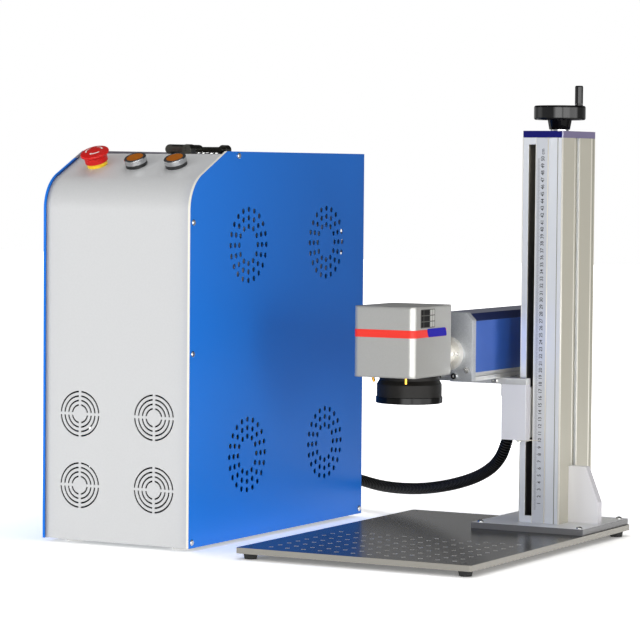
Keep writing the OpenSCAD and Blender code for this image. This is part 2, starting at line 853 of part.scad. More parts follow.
// Switch rocker on its cross pin, pressed in at the lower end
module mains_rocker() {
    rise = rocker_h / 2 * tan(rocker_deg);
    color("darkred") translate([cab_x + inlet_x + rocker_x, rear_face, cab_foot_h + inlet_z]) {
        translate([-rocker_w / 2, 0, 0]) rotate([90, 0, 90]) linear_extrude(rocker_w)
            polygon([[0, -rocker_h / 2], [inlet_flange_t, -rocker_h / 2],
                [inlet_flange_t + rise / 2, 0], [inlet_flange_t + rise, rocker_h / 2],
                [0, rocker_h / 2], [-rocker_d / 3, 0]]);
        translate([-rocker_w / 2 - slide_gap - over + play, 0, 0]) rotate([0, 90, 0])
            cylinder(r = rocker_pin_r, h = rocker_w + 2 * slide_gap + 2 * over - 2 * play);
    }
}

// Values of the hose glands
gland_flange_r = 15;
gland_flange_t = 3;
gland_nose_l = 9;
arm_nose_l = 17;
gland_thread_l = 12;
gland_nose_r = 12;

// Gland seen along its axis: flange, thread behind it, nose ahead with the bore
module gland(nose, thread) {
    difference() {
        union() {
            cylinder(r = gland_flange_r, h = gland_flange_t, $fn = 6);
            translate([0, 0, -thread]) cylinder(r = gland_thread_r, h = thread + over);
            cylinder(r = gland_nose_r, h = gland_flange_t + nose);
        }
        translate([0, 0, -thread - over])
            cylinder(r = hose_bore / 2, h = thread + nose + gland_flange_t + 2 * over);
    }
}

module rear_gland() {
    color("black")
        along_y(cab_x + gland_x, rear_face, cab_foot_h + gland_z) gland(gland_nose_l, gland_thread_l);
}

// Values of the plate
corner_r = 3;
foot_screw_r = 2.6;
foot_head_r = 4.6;
foot_head_t = 1.8;
hole_left = (plate_w - (holes_x - 1) * hole_pitch) / 2;
side_foot_in = 11.5;
side_foot_on = 9;
plate_foot_spots = [[plate_foot_inset, plate_foot_inset],
    [plate_w - plate_foot_inset, plate_foot_inset],
    [plate_foot_inset, plate_d - plate_foot_inset],
    [plate_w - side_foot_in, plate_d - plate_foot_inset - side_foot_on],
    [tongue_x + tongue_w / 2, plate_d + tongue_d - 2 * plate_foot_inset]];
blind_spot = 3;
block_screw_in = 10;
block_screw_spots = [for (x = [block_screw_in, block_w - block_screw_in],
    y = [block_screw_in, block_d - block_screw_in]) [block_x + x, block_y + y]];

// Height of a foot's stud: the one below the foot block stays short
function stud_h(i) = i == blind_spot ? plate_t / 3 : plate_t;

module base_plate() {
    color("slategray") difference() {
        translate([plate_x, plate_y, plate_foot_h]) linear_extrude(plate_t) difference() {
            union() {
                round_rect([plate_w, plate_d], corner_r);
                translate([tongue_x, plate_d - over])
                    square([tongue_w, tongue_d + over]);
            }
            for (i = [0 : holes_x - 1], j = [0 : holes_y - 1])
                translate([hole_left + i * hole_pitch, hole_front + j * hole_pitch])
                    circle(hole_r, $fn = 16);
        }
        for (i = [0 : len(plate_foot_spots) - 1]) translate([plate_x + plate_foot_spots[i][0],
            plate_y + plate_foot_spots[i][1], plate_foot_h - over])
            cylinder(r = foot_screw_r + play,
                h = stud_h(i) + (i == blind_spot ? 1 : 2) * over, $fn = 24);
        for (p = block_screw_spots) translate([p[0], p[1], plate_top - plate_t / 2])
            cylinder(r = foot_screw_r + play, h = plate_t, $fn = 24);
    }
}

module plate_feet() {
    color("black") for (i = [0 : len(plate_foot_spots) - 1])
        translate([plate_x + plate_foot_spots[i][0], plate_y + plate_foot_spots[i][1], 0]) {
        cylinder(r1 = plate_foot_r - corner_r / 2, r2 = plate_foot_r, h = plate_foot_h);
        translate([0, 0, plate_foot_h - over])
            cylinder(r = foot_screw_r, h = stud_h(i) + over);
    }
}

module foot_block() {
    color("silver") translate([block_x, block_y, plate_top]) difference() {
        cube([block_w, block_d, block_t]);
        for (p = block_screw_spots) translate([p[0] - block_x, p[1] - block_y, -over])
            cylinder(r = foot_screw_r + play, h = block_t + 2 * over, $fn = 24);
        translate([col_cx - block_x, col_cy - block_y, block_t / 3])
            cylinder(r = journal_r + run_fit, h = block_t);
    }
}

// Round head screws that hold the foot block to the plate
module foot_screws() {
    color("lightgray") for (p = block_screw_spots) translate([p[0], p[1], block_top]) {
        rotate_extrude() intersection() {
            translate([0, -foot_head_r / 2]) circle(foot_head_r + over);
            square([foot_head_r, 2 * foot_head_t]);
        }
        translate([0, 0, -block_t - plate_t / 2])
            cylinder(r = foot_screw_r, h = block_t + plate_t / 2);
    }
}

// Values of the column's section
end_wall = 6;
groove_mouth = 13;
groove_lip = 2;
groove_wide = 18;
groove_deep = 4.5;
groove_y = 50.5;
line_w = 0.8;
line_d = 0.5;
line_shares = [0.64, 0.875];
edge_r = 1.5;
slot_end = 9.8;

module groove_cut() {
    translate([-over, -groove_mouth / 2]) square([groove_lip + 2 * over, groove_mouth]);
    translate([groove_lip, -groove_wide / 2]) square([groove_deep - groove_lip, groove_wide]);
}

module column_section() {
    difference() {
        round_rect([col_w, col_d], edge_r);
        translate([col_wall, end_wall]) square([col_w - 2 * col_wall, col_d - 2 * end_wall]);
        for (side = [0, 1]) translate([side * col_w, groove_y]) mirror([side, 0]) groove_cut();
        for (x = [1 / 4, 3 / 4]) translate([x * col_w, col_d]) rotate(-90) groove_cut();
        for (share = line_shares) translate([share * col_w, -over]) square([line_w, line_d + over]);
    }
}

module column() {
    color("lightsteelblue") translate([col_x, col_y, block_top]) difference() {
        linear_extrude(col_h) column_section();
        translate([slot_x, -over, slot_end])
            cube([slot_w, end_wall + 2 * over, col_h - 2 * slot_end]);
    }
}

// Values of the brace
gusset_w = 46.5;
gusset_h = 81;
gusset_top = 27;
gusset_toe = 31;
gusset_t = 12.6;
gusset_y = 33;

module foot_gusset() {
    color("lavender") translate([col_x + col_w, col_y + gusset_y + gusset_t, block_top])
        rotate([90, 0, 0]) linear_extrude(gusset_t)
            polygon([[0, 0], [gusset_w, 0], [gusset_w, gusset_toe],
                [gusset_top, gusset_h], [0, gusset_h]]);
}

module top_cap() {
    color("midnightblue") translate([col_x, col_y, col_top]) difference() {
        linear_extrude(cap_t) round_rect([col_w, col_d], edge_r);
        translate([col_w / 2, col_d / 2, -over])
            cylinder(r = journal_r + run_fit, h = cap_t + 2 * over);
    }
}

rod_ys = [end_wall + 3 * rod_r, col_d - end_wall - 3 * rod_r];

module guide_rods() {
    color("gray") for (y = rod_ys) translate([col_cx, col_y + y, block_top])
        cylinder(r = rod_r, h = col_h);
}

// Values of the lead screw and the handwheel
screw_end_gap = 0.3;
collar_r = 13;
collar_t = 2.4;
wheel_web = 5;
wheel_rim_t = 7.5;
hub_top_r = 17.5;
hub_rise = 4;
hub_flat_count = 8;
hub_flat_in = 0.9;
pin_r = 3;
crank_at = 29.5;
crank_foot_h = 2;
crank_head_h = 2;
wheel_foot = cap_top + screw_end_gap + collar_t;
rim_foot = wheel_foot + hub_h;
wheel_top = rim_foot + rim_h - hub_rise;

// Screw with a journal at each end and the collar that rides on the cap
module lead_screw() {
    low = block_top + screw_end_gap;
    color("silver") translate([col_cx, col_cy, 0]) {
        translate([0, 0, low]) cylinder(r = screw_r, h = col_top - screw_end_gap - low);
        translate([0, 0, block_top - block_t / 2])
            cylinder(r = journal_r, h = wheel_top - block_top + block_t / 2);
        translate([0, 0, cap_top + screw_end_gap]) cylinder(r = collar_r, h = collar_t);
    }
}

module handwheel() {
    flat_w = hub_top_r;
    color("black") translate([col_cx, col_cy, wheel_foot]) difference() {
        union() {
            difference() {
                cylinder(r1 = hub_foot_r, r2 = hub_top_r, h = hub_h + over);
                for (k = [0 : hub_flat_count - 1]) rotate(k * 360 / hub_flat_count)
                    translate([hub_foot_r - hub_flat_in, -flat_w / 2, -over])
                        rotate([0, atan((hub_top_r - hub_foot_r) / hub_h), 0])
                            cube([flat_w, flat_w, 2 * hub_h]);
            }
            translate([0, 0, hub_h]) wheel_rim();
            translate([crank_at, 0, hub_h + rim_h - over])
                cylinder(r = crank_r, h = crank_foot_h + over);
            translate([crank_at, 0, hub_h + rim_h])
                cylinder(r = pin_r, h = crank_foot_h + crank_l - crank_head_h);
        }
        translate([0, 0, -over])
            cylinder(r = journal_r + play / 2, h = hub_h + rim_h - hub_rise + over);
    }
}

// Rim, web and hub of the wheel as one revolved drawing
module wheel_rim() {
    web_low = rim_h / 2 - wheel_web / 2;
    rotate_extrude($fn = 96) {
        translate([wheel_r - wheel_rim_t, 0]) intersection() {
            round_rect([wheel_rim_t, rim_h], corner_r);
            square([wheel_rim_t, rim_h]);
        }
        translate([0, web_low]) square([wheel_r - corner_r, wheel_web]);
        square([hub_top_r, rim_h - hub_rise]);
    }
}

// Grip that turns on the wheel's pin
module crank_grip() {
    color("black") translate([col_cx + crank_at, col_cy,
        wheel_foot + hub_h + rim_h + crank_foot_h + screw_end_gap])
        difference() {
        rotate_extrude() union() {
            square([crank_r, crank_l - crank_head_h]);
            translate([0, crank_l - 2 * crank_head_h])
                square([crank_r - crank_head_h, 2 * crank_head_h]);
            translate([crank_r - crank_head_h, crank_l - crank_head_h]) intersection() {
                circle(crank_head_h);
                square(crank_head_h);
            }
        }
        translate([0, 0, -over])
            cylinder(r = pin_r + run_fit, h = crank_l - crank_head_h + over);
    }
}

// Values of the carriage and the arm
car_z = block_top + car_rest;
car_top = car_z + car_h;
car_y = col_y - car_gap - car_t;
slot_in = 2.7;
car_x2 = col_x + slot_x + slot_w - slot_in;
car_x = car_x2 - car_w;
slider_in = 1.2;
slider_h = 72;
neck_in = 3;
nut_r = 11;
nut_flange_r = 14;
nut_flange_t = 5;
arm_x2 = col_x - arm_gap;
arm_x = arm_x2 - arm_w;
arm_cx = arm_x + arm_w / 2;
end_y = col_y - arm_reach;
tube_y = end_y + end_t;
bracket_z = car_top;
rail_z = bracket_z + bracket_t;
tube_z = rail_z + rail_h;
bracket_out = 5;
bracket_in_gap = 10;
hose_in_x = 6.5;
hose_in_y = 24;
hose_x = arm_x2 - hose_in_x;
hose_y = col_y + hose_in_y;

module carriage_plate() {
    color("lightsteelblue") translate([car_x, car_y, car_z]) linear_extrude(car_h)
        round_rect([car_w, car_t], line_w);
}

// Block inside the column, which reaches out through the slot
module slider_block() {
    x = col_x + col_wall + slider_in;
    y = col_y + end_wall + slider_in;
    w = col_w - 2 * col_wall - 2 * slider_in;
    d = col_d - 2 * end_wall - 2 * slider_in;
    z = car_z + neck_in;
    neck_w = slot_w - slot_in - slide_gap;
    color("gray") difference() {
        union() {
            translate([x, y, z]) cube([w, d, slider_h]);
            translate([car_x2 - neck_w, col_y - car_gap, z])
                cube([neck_w, car_gap + end_wall + slider_in + over, slider_h]);
        }
        for (ry = rod_ys) translate([col_cx, col_y + ry, z - over])
            cylinder(r = rod_r + run_fit, h = slider_h + 2 * over);
        translate([col_cx, col_cy, z - over])
            cylinder(r = nut_r + play, h = slider_h + 2 * over);
    }
}

module lead_nut() {
    z = car_z + neck_in;
    color("goldenrod") translate([col_cx, col_cy, 0]) difference() {
        union() {
            translate([0, 0, z]) cylinder(r = nut_r, h = slider_h / 2);
            translate([0, 0, z - nut_flange_t])
                cylinder(r = nut_flange_r, h = nut_flange_t);
        }
        translate([0, 0, z - nut_flange_t - over])
            cylinder(r = screw_r + run_fit, h = slider_h);
    }
}

// Values of the pointer
pointer_t = 1.6;
needle_t = 1;
needle_w = 1.2;
needle_l = 14;
pointer_gap = 0.6;

// Small plate under the carriage with a needle that reads the ruler
module ruler_pointer() {
    x = car_x2 - 4 * foot_head_r;
    color("firebrick") {
        translate([x, car_y + car_t / 3, car_z - pointer_t])
            cube([car_x2 - x, col_y - pointer_gap - car_y - car_t / 3, pointer_t]);
        translate([car_x2 - over, col_y - pointer_gap - needle_t, car_z - needle_w])
            cube([needle_l + over, needle_t, needle_w]);
        translate([x + foot_head_r, car_y + car_t / 3 + foot_head_r, car_z - pointer_t])
            mirror([0, 0, 1]) cylinder(r = foot_head_r / 2 + over, h = foot_head_t);
    }
}

module arm_bracket() {
    x1 = arm_x - bracket_out;
    x2 = car_x2;
    x3 = col_x - bracket_in_gap;
    color("lightsteelblue") difference() {
        translate([0, 0, bracket_z]) linear_extrude(bracket_t)
            polygon([[x1, car_y], [x2, car_y], [x2, car_y + car_t],
                [x3, car_y + car_t], [x3, car_y + bracket_d], [x1, car_y + bracket_d]]);
        translate([hose_x, hose_y, bracket_z - over])
            cylinder(r = gland_thread_r + play, h = bracket_t + 2 * over);
        along_y(bracket_screw_x, car_y - over, bracket_z + bracket_t / 2)
            cylinder(r = screw_shank_r + play, h = 2 * cap_head_h + 2 * over, $fn = 24);
    }
}

rail_groove = 3;

module arm_rail() {
    color("silver") difference() {
        translate([arm_x, tube_y, rail_z]) cube([arm_w, arm_l, rail_h]);
        for (x = [arm_x - over, arm_x2 - rail_groove])
            translate([x, tube_y - over, rail_z + rail_h / 2])
                cube([rail_groove + over, arm_l + 2 * over, rail_groove]);
        translate([hose_x, hose_y, rail_z - over])
            cylinder(r = hose_bore / 4, h = rail_h + 2 * over);
    }
}

// Tube's outline seen from the front, inset by a wall
module arm_outline(inset) {
    w = arm_w / 2 - inset;
    cut = arm_bevel - inset * tan(180 / 8);
    polygon([[-w, inset], [w, inset], [w, arm_h - inset - cut], [w - cut, arm_h - inset],
        [-w + cut, arm_h - inset], [-w, arm_h - inset - cut]]);
}

module arm_front_on(y, thick, z) {
    translate([arm_cx, y + thick, z]) rotate([90, 0, 0]) linear_extrude(thick) children();
}

module arm_tube() {
    color("mediumblue") difference() {
        arm_front_on(tube_y, arm_l, tube_z) difference() {
            arm_outline(0);
            arm_outline(arm_wall);
        }
        translate([hose_x, hose_y, tube_z - over])
            cylinder(r = hose_bore / 4, h = arm_wall + 2 * over);
    }
}

// Values of the end plates, the beam flange and the screws
beam_x_off = 1;
head_lift = 11.3;
rear_cover_t = 6;
plate_lip = 0.3;
plate_rise = 1.8;
neck_bore_r = 20;
collimator_r = 19.8;
collimator_l = 118;
ring_r = 24;
ring_t = 11;
neck_r = 16;
ring_screw_at = 19.7;
ring_screw_size = 2 / 3;
spigot_r = 14;
cap_head_r = 4.2;
cap_head_h = 3.6;
hex_r = 1.6;
plate_screw_spots = [[31.2, 15.7], [-31.2, 15.7], [11.5, 6.6], [-11.5, 6.6]];
bracket_screw_x = car_x - 3 * cap_head_h;
beam_x = arm_cx + beam_x_off;
beam_top = rail_z + head_lift + beam_z;

module plate_outline(grow, rise) {
    w = arm_w / 2 + grow;
    top = rail_h + arm_h + rise;
    polygon([[-w, 0], [w, 0], [w, top - arm_bevel], [w - arm_bevel, top],
        [-w + arm_bevel, top], [-w, top - arm_bevel]]);
}

module arm_end_plates() {
    color("silver") {
        difference() {
            arm_front_on(end_y, end_t, rail_z) plate_outline(plate_lip, plate_rise);
            along_y(beam_x, end_y - over, beam_top) cylinder(r = neck_bore_r, h = end_t + 2 * over);
            for (p = plate_screw_spots) along_y(arm_cx + p[0], end_y - over, rail_z + p[1])
                cylinder(r = screw_shank_r + play, h = end_t + 2 * over, $fn = 24);
        }
        arm_front_on(tube_y + arm_l, rear_cover_t, rail_z) plate_outline(0, 0);
    }
}

// Socket head screw whose head stands towards the front
module cap_screw(size, shank_l) {
    difference() {
        mirror([0, 0, 1]) cylinder(r = size * cap_head_r, h = size * cap_head_h);
        translate([0, 0, -size * cap_head_h - over])
            cylinder(r = size * hex_r, h = size * cap_head_h / 2 + over, $fn = 6);
    }
    cylinder(r = size * screw_shank_r, h = shank_l);
}

module arm_screws() {
    color("gray") {
        for (p = plate_screw_spots) along_y(arm_cx + p[0], end_y, rail_z + p[1])
            cap_screw(1, end_t);
        for (turn = [0 : 90 : 270]) along_y(beam_x + ring_screw_at * cos(turn), end_y - ring_t,
            beam_top + ring_screw_at * sin(turn))
            cap_screw(ring_screw_size, 2 * hex_r);
        along_y(bracket_screw_x, car_y, bracket_z + bracket_t / 2) cap_screw(1, 2 * cap_head_h);
    }
}

module arm_gland() {
    color("black") translate([hose_x, hose_y, bracket_z])
        mirror([0, 0, 1]) gland(arm_nose_l, bracket_t);
}

// Beam tube inside the arm, with the flange and the neck that enters the head
module collimator() {
    color("silver") difference() {
        union() {
            along_y(beam_x, end_y, beam_top) cylinder(r = collimator_r, h = collimator_l);
            along_y(beam_x, end_y - ring_t, beam_top) cylinder(r = ring_r, h = ring_t);
            along_y(beam_x, end_y - head_gap, beam_top) cylinder(r = neck_r, h = head_gap);
            along_y(beam_x, end_y - head_gap - head_wall, beam_top)
                cylinder(r = spigot_r, h = head_gap + head_wall);
        }
        along_y(beam_x, end_y - head_gap - head_wall - over, beam_top)
            cylinder(r = neck_r / 2, h = head_gap + head_wall + collimator_l - end_t);
        for (turn = [0 : 90 : 270])
            along_y(beam_x + ring_screw_at * cos(turn), end_y - ring_t - over,
                beam_top + ring_screw_at * sin(turn))
                cylinder(r = ring_screw_size * screw_shank_r + play,
                    h = 2 * hex_r + 2 * over, $fn = 24);
    }
}

// Values of the head
head_x2 = beam_x + beam_in;
head_x = head_x2 - head_w;
head_y2 = end_y - head_gap;
head_y = head_y2 - head_d;
head_z = rail_z + head_lift;
head_top = head_z + head_h;
mirror_z = beam_top;
lens_off_x = 2.5;
lens_off_y = 14.9;
lens_x = head_x + head_w / 2 + lens_off_x;
lens_y = head_y + head_d / 2 + lens_off_y;
lens_bore_r = 41;

module head_housing() {
    w = head_w - 2 * head_wall;
    d = head_d - 2 * head_wall;
    color("darkgray") difference() {
        translate([head_x, head_y, head_z]) linear_extrude(head_h)
            round_rect([head_w, head_d], head_r);
        translate([head_x + head_wall, head_y + head_wall, head_z + head_wall])
            linear_extrude(head_h - 2 * head_wall) round_rect([w, d], head_r - head_wall);
        translate([lens_x, lens_y, head_z - over])
            cylinder(r = lens_bore_r + play, h = head_wall + 2 * over, $fn = 96);
        along_y(beam_x, head_y2 - head_wall - over, beam_top)
            cylinder(r = spigot_r + play, h = head_wall + 2 * over);
    }
}

stripe_t = 0.3;
stripe_l = 97;

module head_stripe() {
    color("red") translate([head_x - stripe_t, head_y - stripe_t, head_z + stripe_z])
        linear_extrude(stripe_h) difference() {
        round_rect([head_w + 2 * stripe_t, head_d + 2 * stripe_t], head_r + stripe_t);
        translate([stripe_t, stripe_t]) round_rect([head_w, head_d], head_r);
        translate([-over, stripe_t + stripe_l]) square([head_w + 2 * stripe_t + 2 * over, head_d]);
    }
}

// Values of the scan unit
motor_r = 12;
motor_flange_r = 14;
motor_flange_t = 2;
motor_l = 40;
deck_t = 8;
deck_lift = 16;
wall_ahead = 29;
wall_low = 15;
deck_z = mirror_z + deck_lift;
wall_y = lens_y - wall_ahead;
shaft_r = 2;
shaft_in = 8;
mirror_w = 14;
mirror_l = 20;
mirror_l2 = 26;
mirror_t = 2;
tab_r = 3;

// Deck across the head with an upright, and a motor held in each
module galvo_block() {
    inset = head_wall + play;
    color("gray") difference() {
        union() {
            translate([head_x + inset, head_y + inset, deck_z]) linear_extrude(deck_t)
                round_rect([head_w - 2 * inset, head_d - 2 * inset], head_r - head_wall);
            translate([lens_x - 1.5 * motor_r, wall_y, mirror_z - wall_low])
                cube([3 * motor_r, deck_t, deck_lift + wall_low + over]);
            translate([beam_x, lens_y, deck_z]) motor_body();
            translate([lens_x, wall_y + deck_t, mirror_z]) rotate([90, 0, 0]) motor_body();
        }
        translate([beam_x, lens_y, deck_z - over])
            cylinder(r = shaft_r + run_fit, h = shaft_in + over);
        along_y(lens_x, wall_y + deck_t - shaft_in, mirror_z)
            cylinder(r = shaft_r + run_fit, h = shaft_in + over);
    }
}

// Motor with its flange; its front end lies at zero and the body runs upwards
module motor_body() {
    cylinder(r = motor_r, h = motor_l);
    translate([0, 0, deck_t]) cylinder(r = motor_flange_r, h = motor_flange_t);
}

// Mirror with its shaft, standing up; the mirror's middle lies at zero
module scan_mirror(length, reach) {
    translate([-mirror_w / 2, -mirror_t / 2, -length / 2]) cube([mirror_w, mirror_t, length]);
    translate([0, 0, length / 2 - shaft_in / 2])
        cylinder(r = tab_r, h = shaft_in / 2 + 1.5 * shaft_r);
    translate([0, 0, length / 2 - over])
        cylinder(r = shaft_r, h = reach - length / 2 + shaft_in - shaft_r);
}

module mirror_x() {
    color("lightcyan") translate([beam_x, lens_y, mirror_z])
        rotate(45) scan_mirror(mirror_l, deck_z - mirror_z);
}

module mirror_y() {
    color("lightcyan") translate([lens_x, lens_y, mirror_z]) rotate([90, 0, 0])
        rotate(45) scan_mirror(mirror_l2, lens_y - wall_y - deck_t);
}

// Values of the lens, from its lower face up
lens_low = head_z - lens_h;
lens_ring_h = 9;
lens_wide_r = 45;
lens_wide_h = 17;
lens_cone_h = 6;
lens_neck_r = 41.5;
lens_clear_r = 36;
lens_lip_r = 33;
glass_t = 7;
glass_in = 3;

module lens_barrel() {
    cone_top = lens_ring_h + lens_wide_h + lens_cone_h;
    color("black") translate([lens_x, lens_y, lens_low]) rotate_extrude($fn = 96) difference() {
        polygon([[0, 0], [lens_r - over, 0], [lens_r, over],
            [lens_r, lens_ring_h - over / 2], [lens_wide_r, lens_ring_h],
            [lens_wide_r, lens_ring_h + lens_wide_h], [lens_neck_r, cone_top],
            [lens_neck_r, lens_h], [lens_bore_r, lens_h],
            [lens_bore_r, lens_h + head_wall], [0, lens_h + head_wall]]);
        translate([0, glass_in]) square([lens_clear_r, lens_h + head_wall]);
        translate([0, -over]) square([lens_lip_r, glass_in + 2 * over]);
    }
}

// Lens element that lies on the barrel's lower lip, crowned above
module lens_glass() {
    r = lens_clear_r - play;
    bulge = glass_t / 2;
    sphere_r = (r * r + bulge * bulge) / (2 * bulge);
    color("lightblue") translate([lens_x, lens_y, lens_low + glass_in]) rotate_extrude($fn = 96) {
        square([r, glass_t / 2]);
        translate([0, glass_t / 2]) intersection() {
            translate([0, bulge - sphere_r]) circle(sphere_r, $fn = 192);
            square([r, bulge]);
        }
    }
}

// Values of the aiming pins
aim_r = 2.1;
aim_l = 9;
aim_tilt = 18;
aim_front = 17;
aim_left = 14;
aim_back = 32;
aim_right = 21;

// Two brass aiming pins under the head: the left one leans
module focus_pointers() {
    color("gold") {
        translate([head_x2 - aim_right, head_y + aim_front, head_z - aim_l])
            cylinder(r = aim_r, h = aim_l);
        intersection() {
            translate([head_x + aim_left, head_y + aim_back, head_z]) rotate([0, 180 - aim_tilt, 0])
                translate([0, 0, -aim_l]) cylinder(r = aim_r, h = 2 * aim_l);
            translate([head_x, head_y, head_z - 2 * aim_l]) cube([head_w, head_d, 2 * aim_l]);
        }
    }
}

// Route of the hose, from the arm's gland to the cabinet's: chosen by hand
hose_exit = [hose_x, hose_y, bracket_z - gland_flange_t - arm_nose_l];
hose_entry = [cab_x + gland_x, rear_face + gland_flange_t + gland_nose_l, cab_foot_h + gland_z];
hose_down = [0, 0, -17];
hose_back = [0, 14, 0];
hose_bends = [[188, 125, 134], [178, 129, 114], [159, 139, 96], [128, 158, 80],
    [90, 182, 67], [47, 209, 56], [-2, 237, 47], [-51, 264, 42], [-99, 289, 41],
    [-143, 308, 45], [-180, 320, 50], [-213, 322, 54], [-241, 311, 57], [-258, 290, 59]];
hose_route = concat([for (i = [0 : 3]) hose_exit + i * hose_down], hose_bends,
    [for (i = [2 : -1 : 0]) hose_entry + i * hose_back]);

// A smooth curve through the route's points, and its even steps
function hose_at(t) =
    let (n = len(hose_route) - 1, i = min(floor(t), n - 1), u = t - i, a = hose_route[max(i - 1, 0)],
        b = hose_route[i],
        c = hose_route[i + 1],
        d = hose_route[min(i + 2, n)])
        (2 * b + (c - a) * u + (2 * a - 5 * b + 4 * c - d) * u * u
            + (3 * b - 3 * c + d - a) * u * u * u) / 2;
fine = 12;
spans = (len(hose_route) - 1) * fine;
fine_points = [for (i = [0 : spans]) hose_at(i / fine)];
fine_steps = [for (i = [1 : spans]) norm(fine_points[i] - fine_points[i - 1])];
function running(list, i = 0, sum = 0) =
    i > len(list) ? [] : concat([sum], running(list, i + 1, i < len(list) ? sum + list[i] : 0));
fine_run = running(fine_steps);
hose_length = fine_run[spans];
function place_at(s, i = 0) =
    i >= spans - 1 || fine_run[i + 1] >= s
    ? fine_points[i] + (fine_points[i + 1] - fine_points[i])
        * min(max((s - fine_run[i]) / fine_steps[i], 0), 1) : place_at(s, i + 1);

// Rings across the curve: each keeps its side direction level as far as it can
function unit(v) = v / norm(v);
hose_sides = 8;
function carried(side, dir) = unit(side - dir * (side * dir));
function frames(dirs, side, i = 0) =
    i == len(dirs) ? [] : concat([carried(side, dirs[i])], frames(dirs, carried(side, dirs[i]), i + 1));
module tube_between(places, outer, inner) {
    n = len(places);
    dirs = [for (i = [0 : n - 1]) unit(places[min(i + 1, n - 1)] - places[max(i - 1, 0)])];
    sides = frames(dirs, [1, 0, 0]);
    ring = function (i, r) [for (k = [0 : hose_sides - 1]) let (a = k * 360 / hose_sides)
        places[i] + r * (cos(a) * sides[i] + sin(a) * cross(dirs[i], sides[i]))];
    outer_points = [for (i = [0 : n - 1]) each ring(i, outer[i])];
    inner_rows = [for (i = [0 : bore_step : n - 1]) i];
    m = len(inner_rows);
    inner_points = [for (i = inner_rows) each ring(i, inner)];
    base = n * hose_sides;
    outer_faces = [for (i = [0 : n - 2], k = [0 : hose_sides - 1])
        let (a = i * hose_sides + k, b = i * hose_sides + (k + 1) % hose_sides)
        each [[a, a + hose_sides, b], [b, a + hose_sides, b + hose_sides]]];
    inner_faces = [for (i = [0 : m - 2], k = [0 : hose_sides - 1])
        let (a = base + i * hose_sides + k, b = base + i * hose_sides + (k + 1) % hose_sides)
        each [[a, b, a + hose_sides], [b, b + hose_sides, a + hose_sides]]];
    last = (n - 1) * hose_sides;
    last_in = base + (m - 1) * hose_sides;
    end_faces = [for (k = [0 : hose_sides - 1]) let (j = (k + 1) % hose_sides)
        each [[k, j, base + k], [j, base + j, base + k],
        [last + k, last_in + k, last + j], [last + j, last_in + k, last_in + j]]];
    polyhedron(concat(outer_points, inner_points), concat(outer_faces, inner_faces, end_faces));
}
bore_step = 5;

// Corrugated hose: a narrow and a wide ring for each rib, over a plain bore
module hose() {
    rings = 2 * rib_count;
    places = [for (i = [0 : rings]) place_at(hose_length * i / rings)];
    radii = [for (i = [0 : rings]) hose_d / 2 - (i % 2) * rib_depth];
    color("black") tube_between(places, radii, hose_bore / 2);
}

front_wrap();
side_panel_left();
side_panel_right();
rear_panel();
base_tray();
cabinet_feet();
panel_screws();
fan_frames();
fan_rotor_1();
fan_rotor_2();
fan_rotor_3();
fan_rotor_4();
inner_shelf();
laser_source();
power_supply();
control_board();
transformer();
stop_base();
stop_stem();
stop_head();
button_bodies();
button_bezels();
button_lens_1();
button_lens_2();
handle_base();
handle_bail();
power_inlet();
mains_rocker();
rear_gland();
base_plate();
plate_feet();
foot_block();
foot_screws();
column();
foot_gusset();
top_cap();
guide_rods();
lead_screw();
handwheel();
crank_grip();
carriage_plate();
slider_block();
lead_nut();
ruler_pointer();
arm_bracket();
arm_rail();
arm_tube();
arm_end_plates();
arm_screws();
arm_gland();
collimator();
head_housing();
head_stripe();
galvo_block();
mirror_x();
mirror_y();
lens_barrel();
lens_glass();
focus_pointers();
hose();
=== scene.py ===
# %% [markdown]
# # A laser marking machine on a bench
# The machine is two things side by side: a steel cabinet that makes the laser light, and a stand with a
# column, an arm and a scan head that throws the light on the work. The exact solids come from the packed
# CAD model. This file gives them their finishes, and adds what CAD has no use for: the ruler's marks, the
# ribs of the hose, the plates on the head and the studio. Everything is in metres and in the CAD model's
# own frame.

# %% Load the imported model
import math

import bmesh
import bpy
from mathutils import Matrix, Vector
from mathutils.bvhtree import BVHTree


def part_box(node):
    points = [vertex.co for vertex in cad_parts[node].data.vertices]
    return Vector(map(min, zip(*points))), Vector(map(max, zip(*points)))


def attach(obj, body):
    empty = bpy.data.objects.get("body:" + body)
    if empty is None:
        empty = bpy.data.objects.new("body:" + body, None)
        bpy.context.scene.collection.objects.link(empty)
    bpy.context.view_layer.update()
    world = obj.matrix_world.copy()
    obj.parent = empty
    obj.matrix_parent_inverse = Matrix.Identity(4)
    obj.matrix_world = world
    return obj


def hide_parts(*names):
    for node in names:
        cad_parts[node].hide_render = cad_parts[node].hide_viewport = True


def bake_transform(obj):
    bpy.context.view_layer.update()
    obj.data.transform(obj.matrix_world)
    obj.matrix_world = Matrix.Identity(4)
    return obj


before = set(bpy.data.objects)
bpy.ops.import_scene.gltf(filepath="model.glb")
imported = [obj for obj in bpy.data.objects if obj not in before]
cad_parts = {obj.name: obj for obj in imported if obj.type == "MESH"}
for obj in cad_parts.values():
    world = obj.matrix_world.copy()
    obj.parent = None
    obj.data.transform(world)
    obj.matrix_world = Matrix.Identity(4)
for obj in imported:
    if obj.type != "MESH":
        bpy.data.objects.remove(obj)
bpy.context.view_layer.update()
print("CAD nodes:", len(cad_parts))

# %% [markdown]
# ## Small helpers
# A colour on a screen is written in sRGB, but light adds up in linear numbers, so one function turns a
# hex colour into linear values. A second one adds a shader node with its settings and its links, and three
# more add the nodes that are wanted most: one sum, the X, Y and Z of a place or direction, and a value that
# runs from one level to another. That keeps each finish short enough to read as a recipe.

# %% Colour and node helpers
MM = 0.001


def colour(hex_code):
    parts = [int(hex_code[i:i + 2], 16) / 255 for i in (1, 3, 5)]
    return tuple(c / 12.92 if c <= 0.04045 else ((c + 0.055) / 1.055) ** 2.4 for c in parts) + (1.0,)


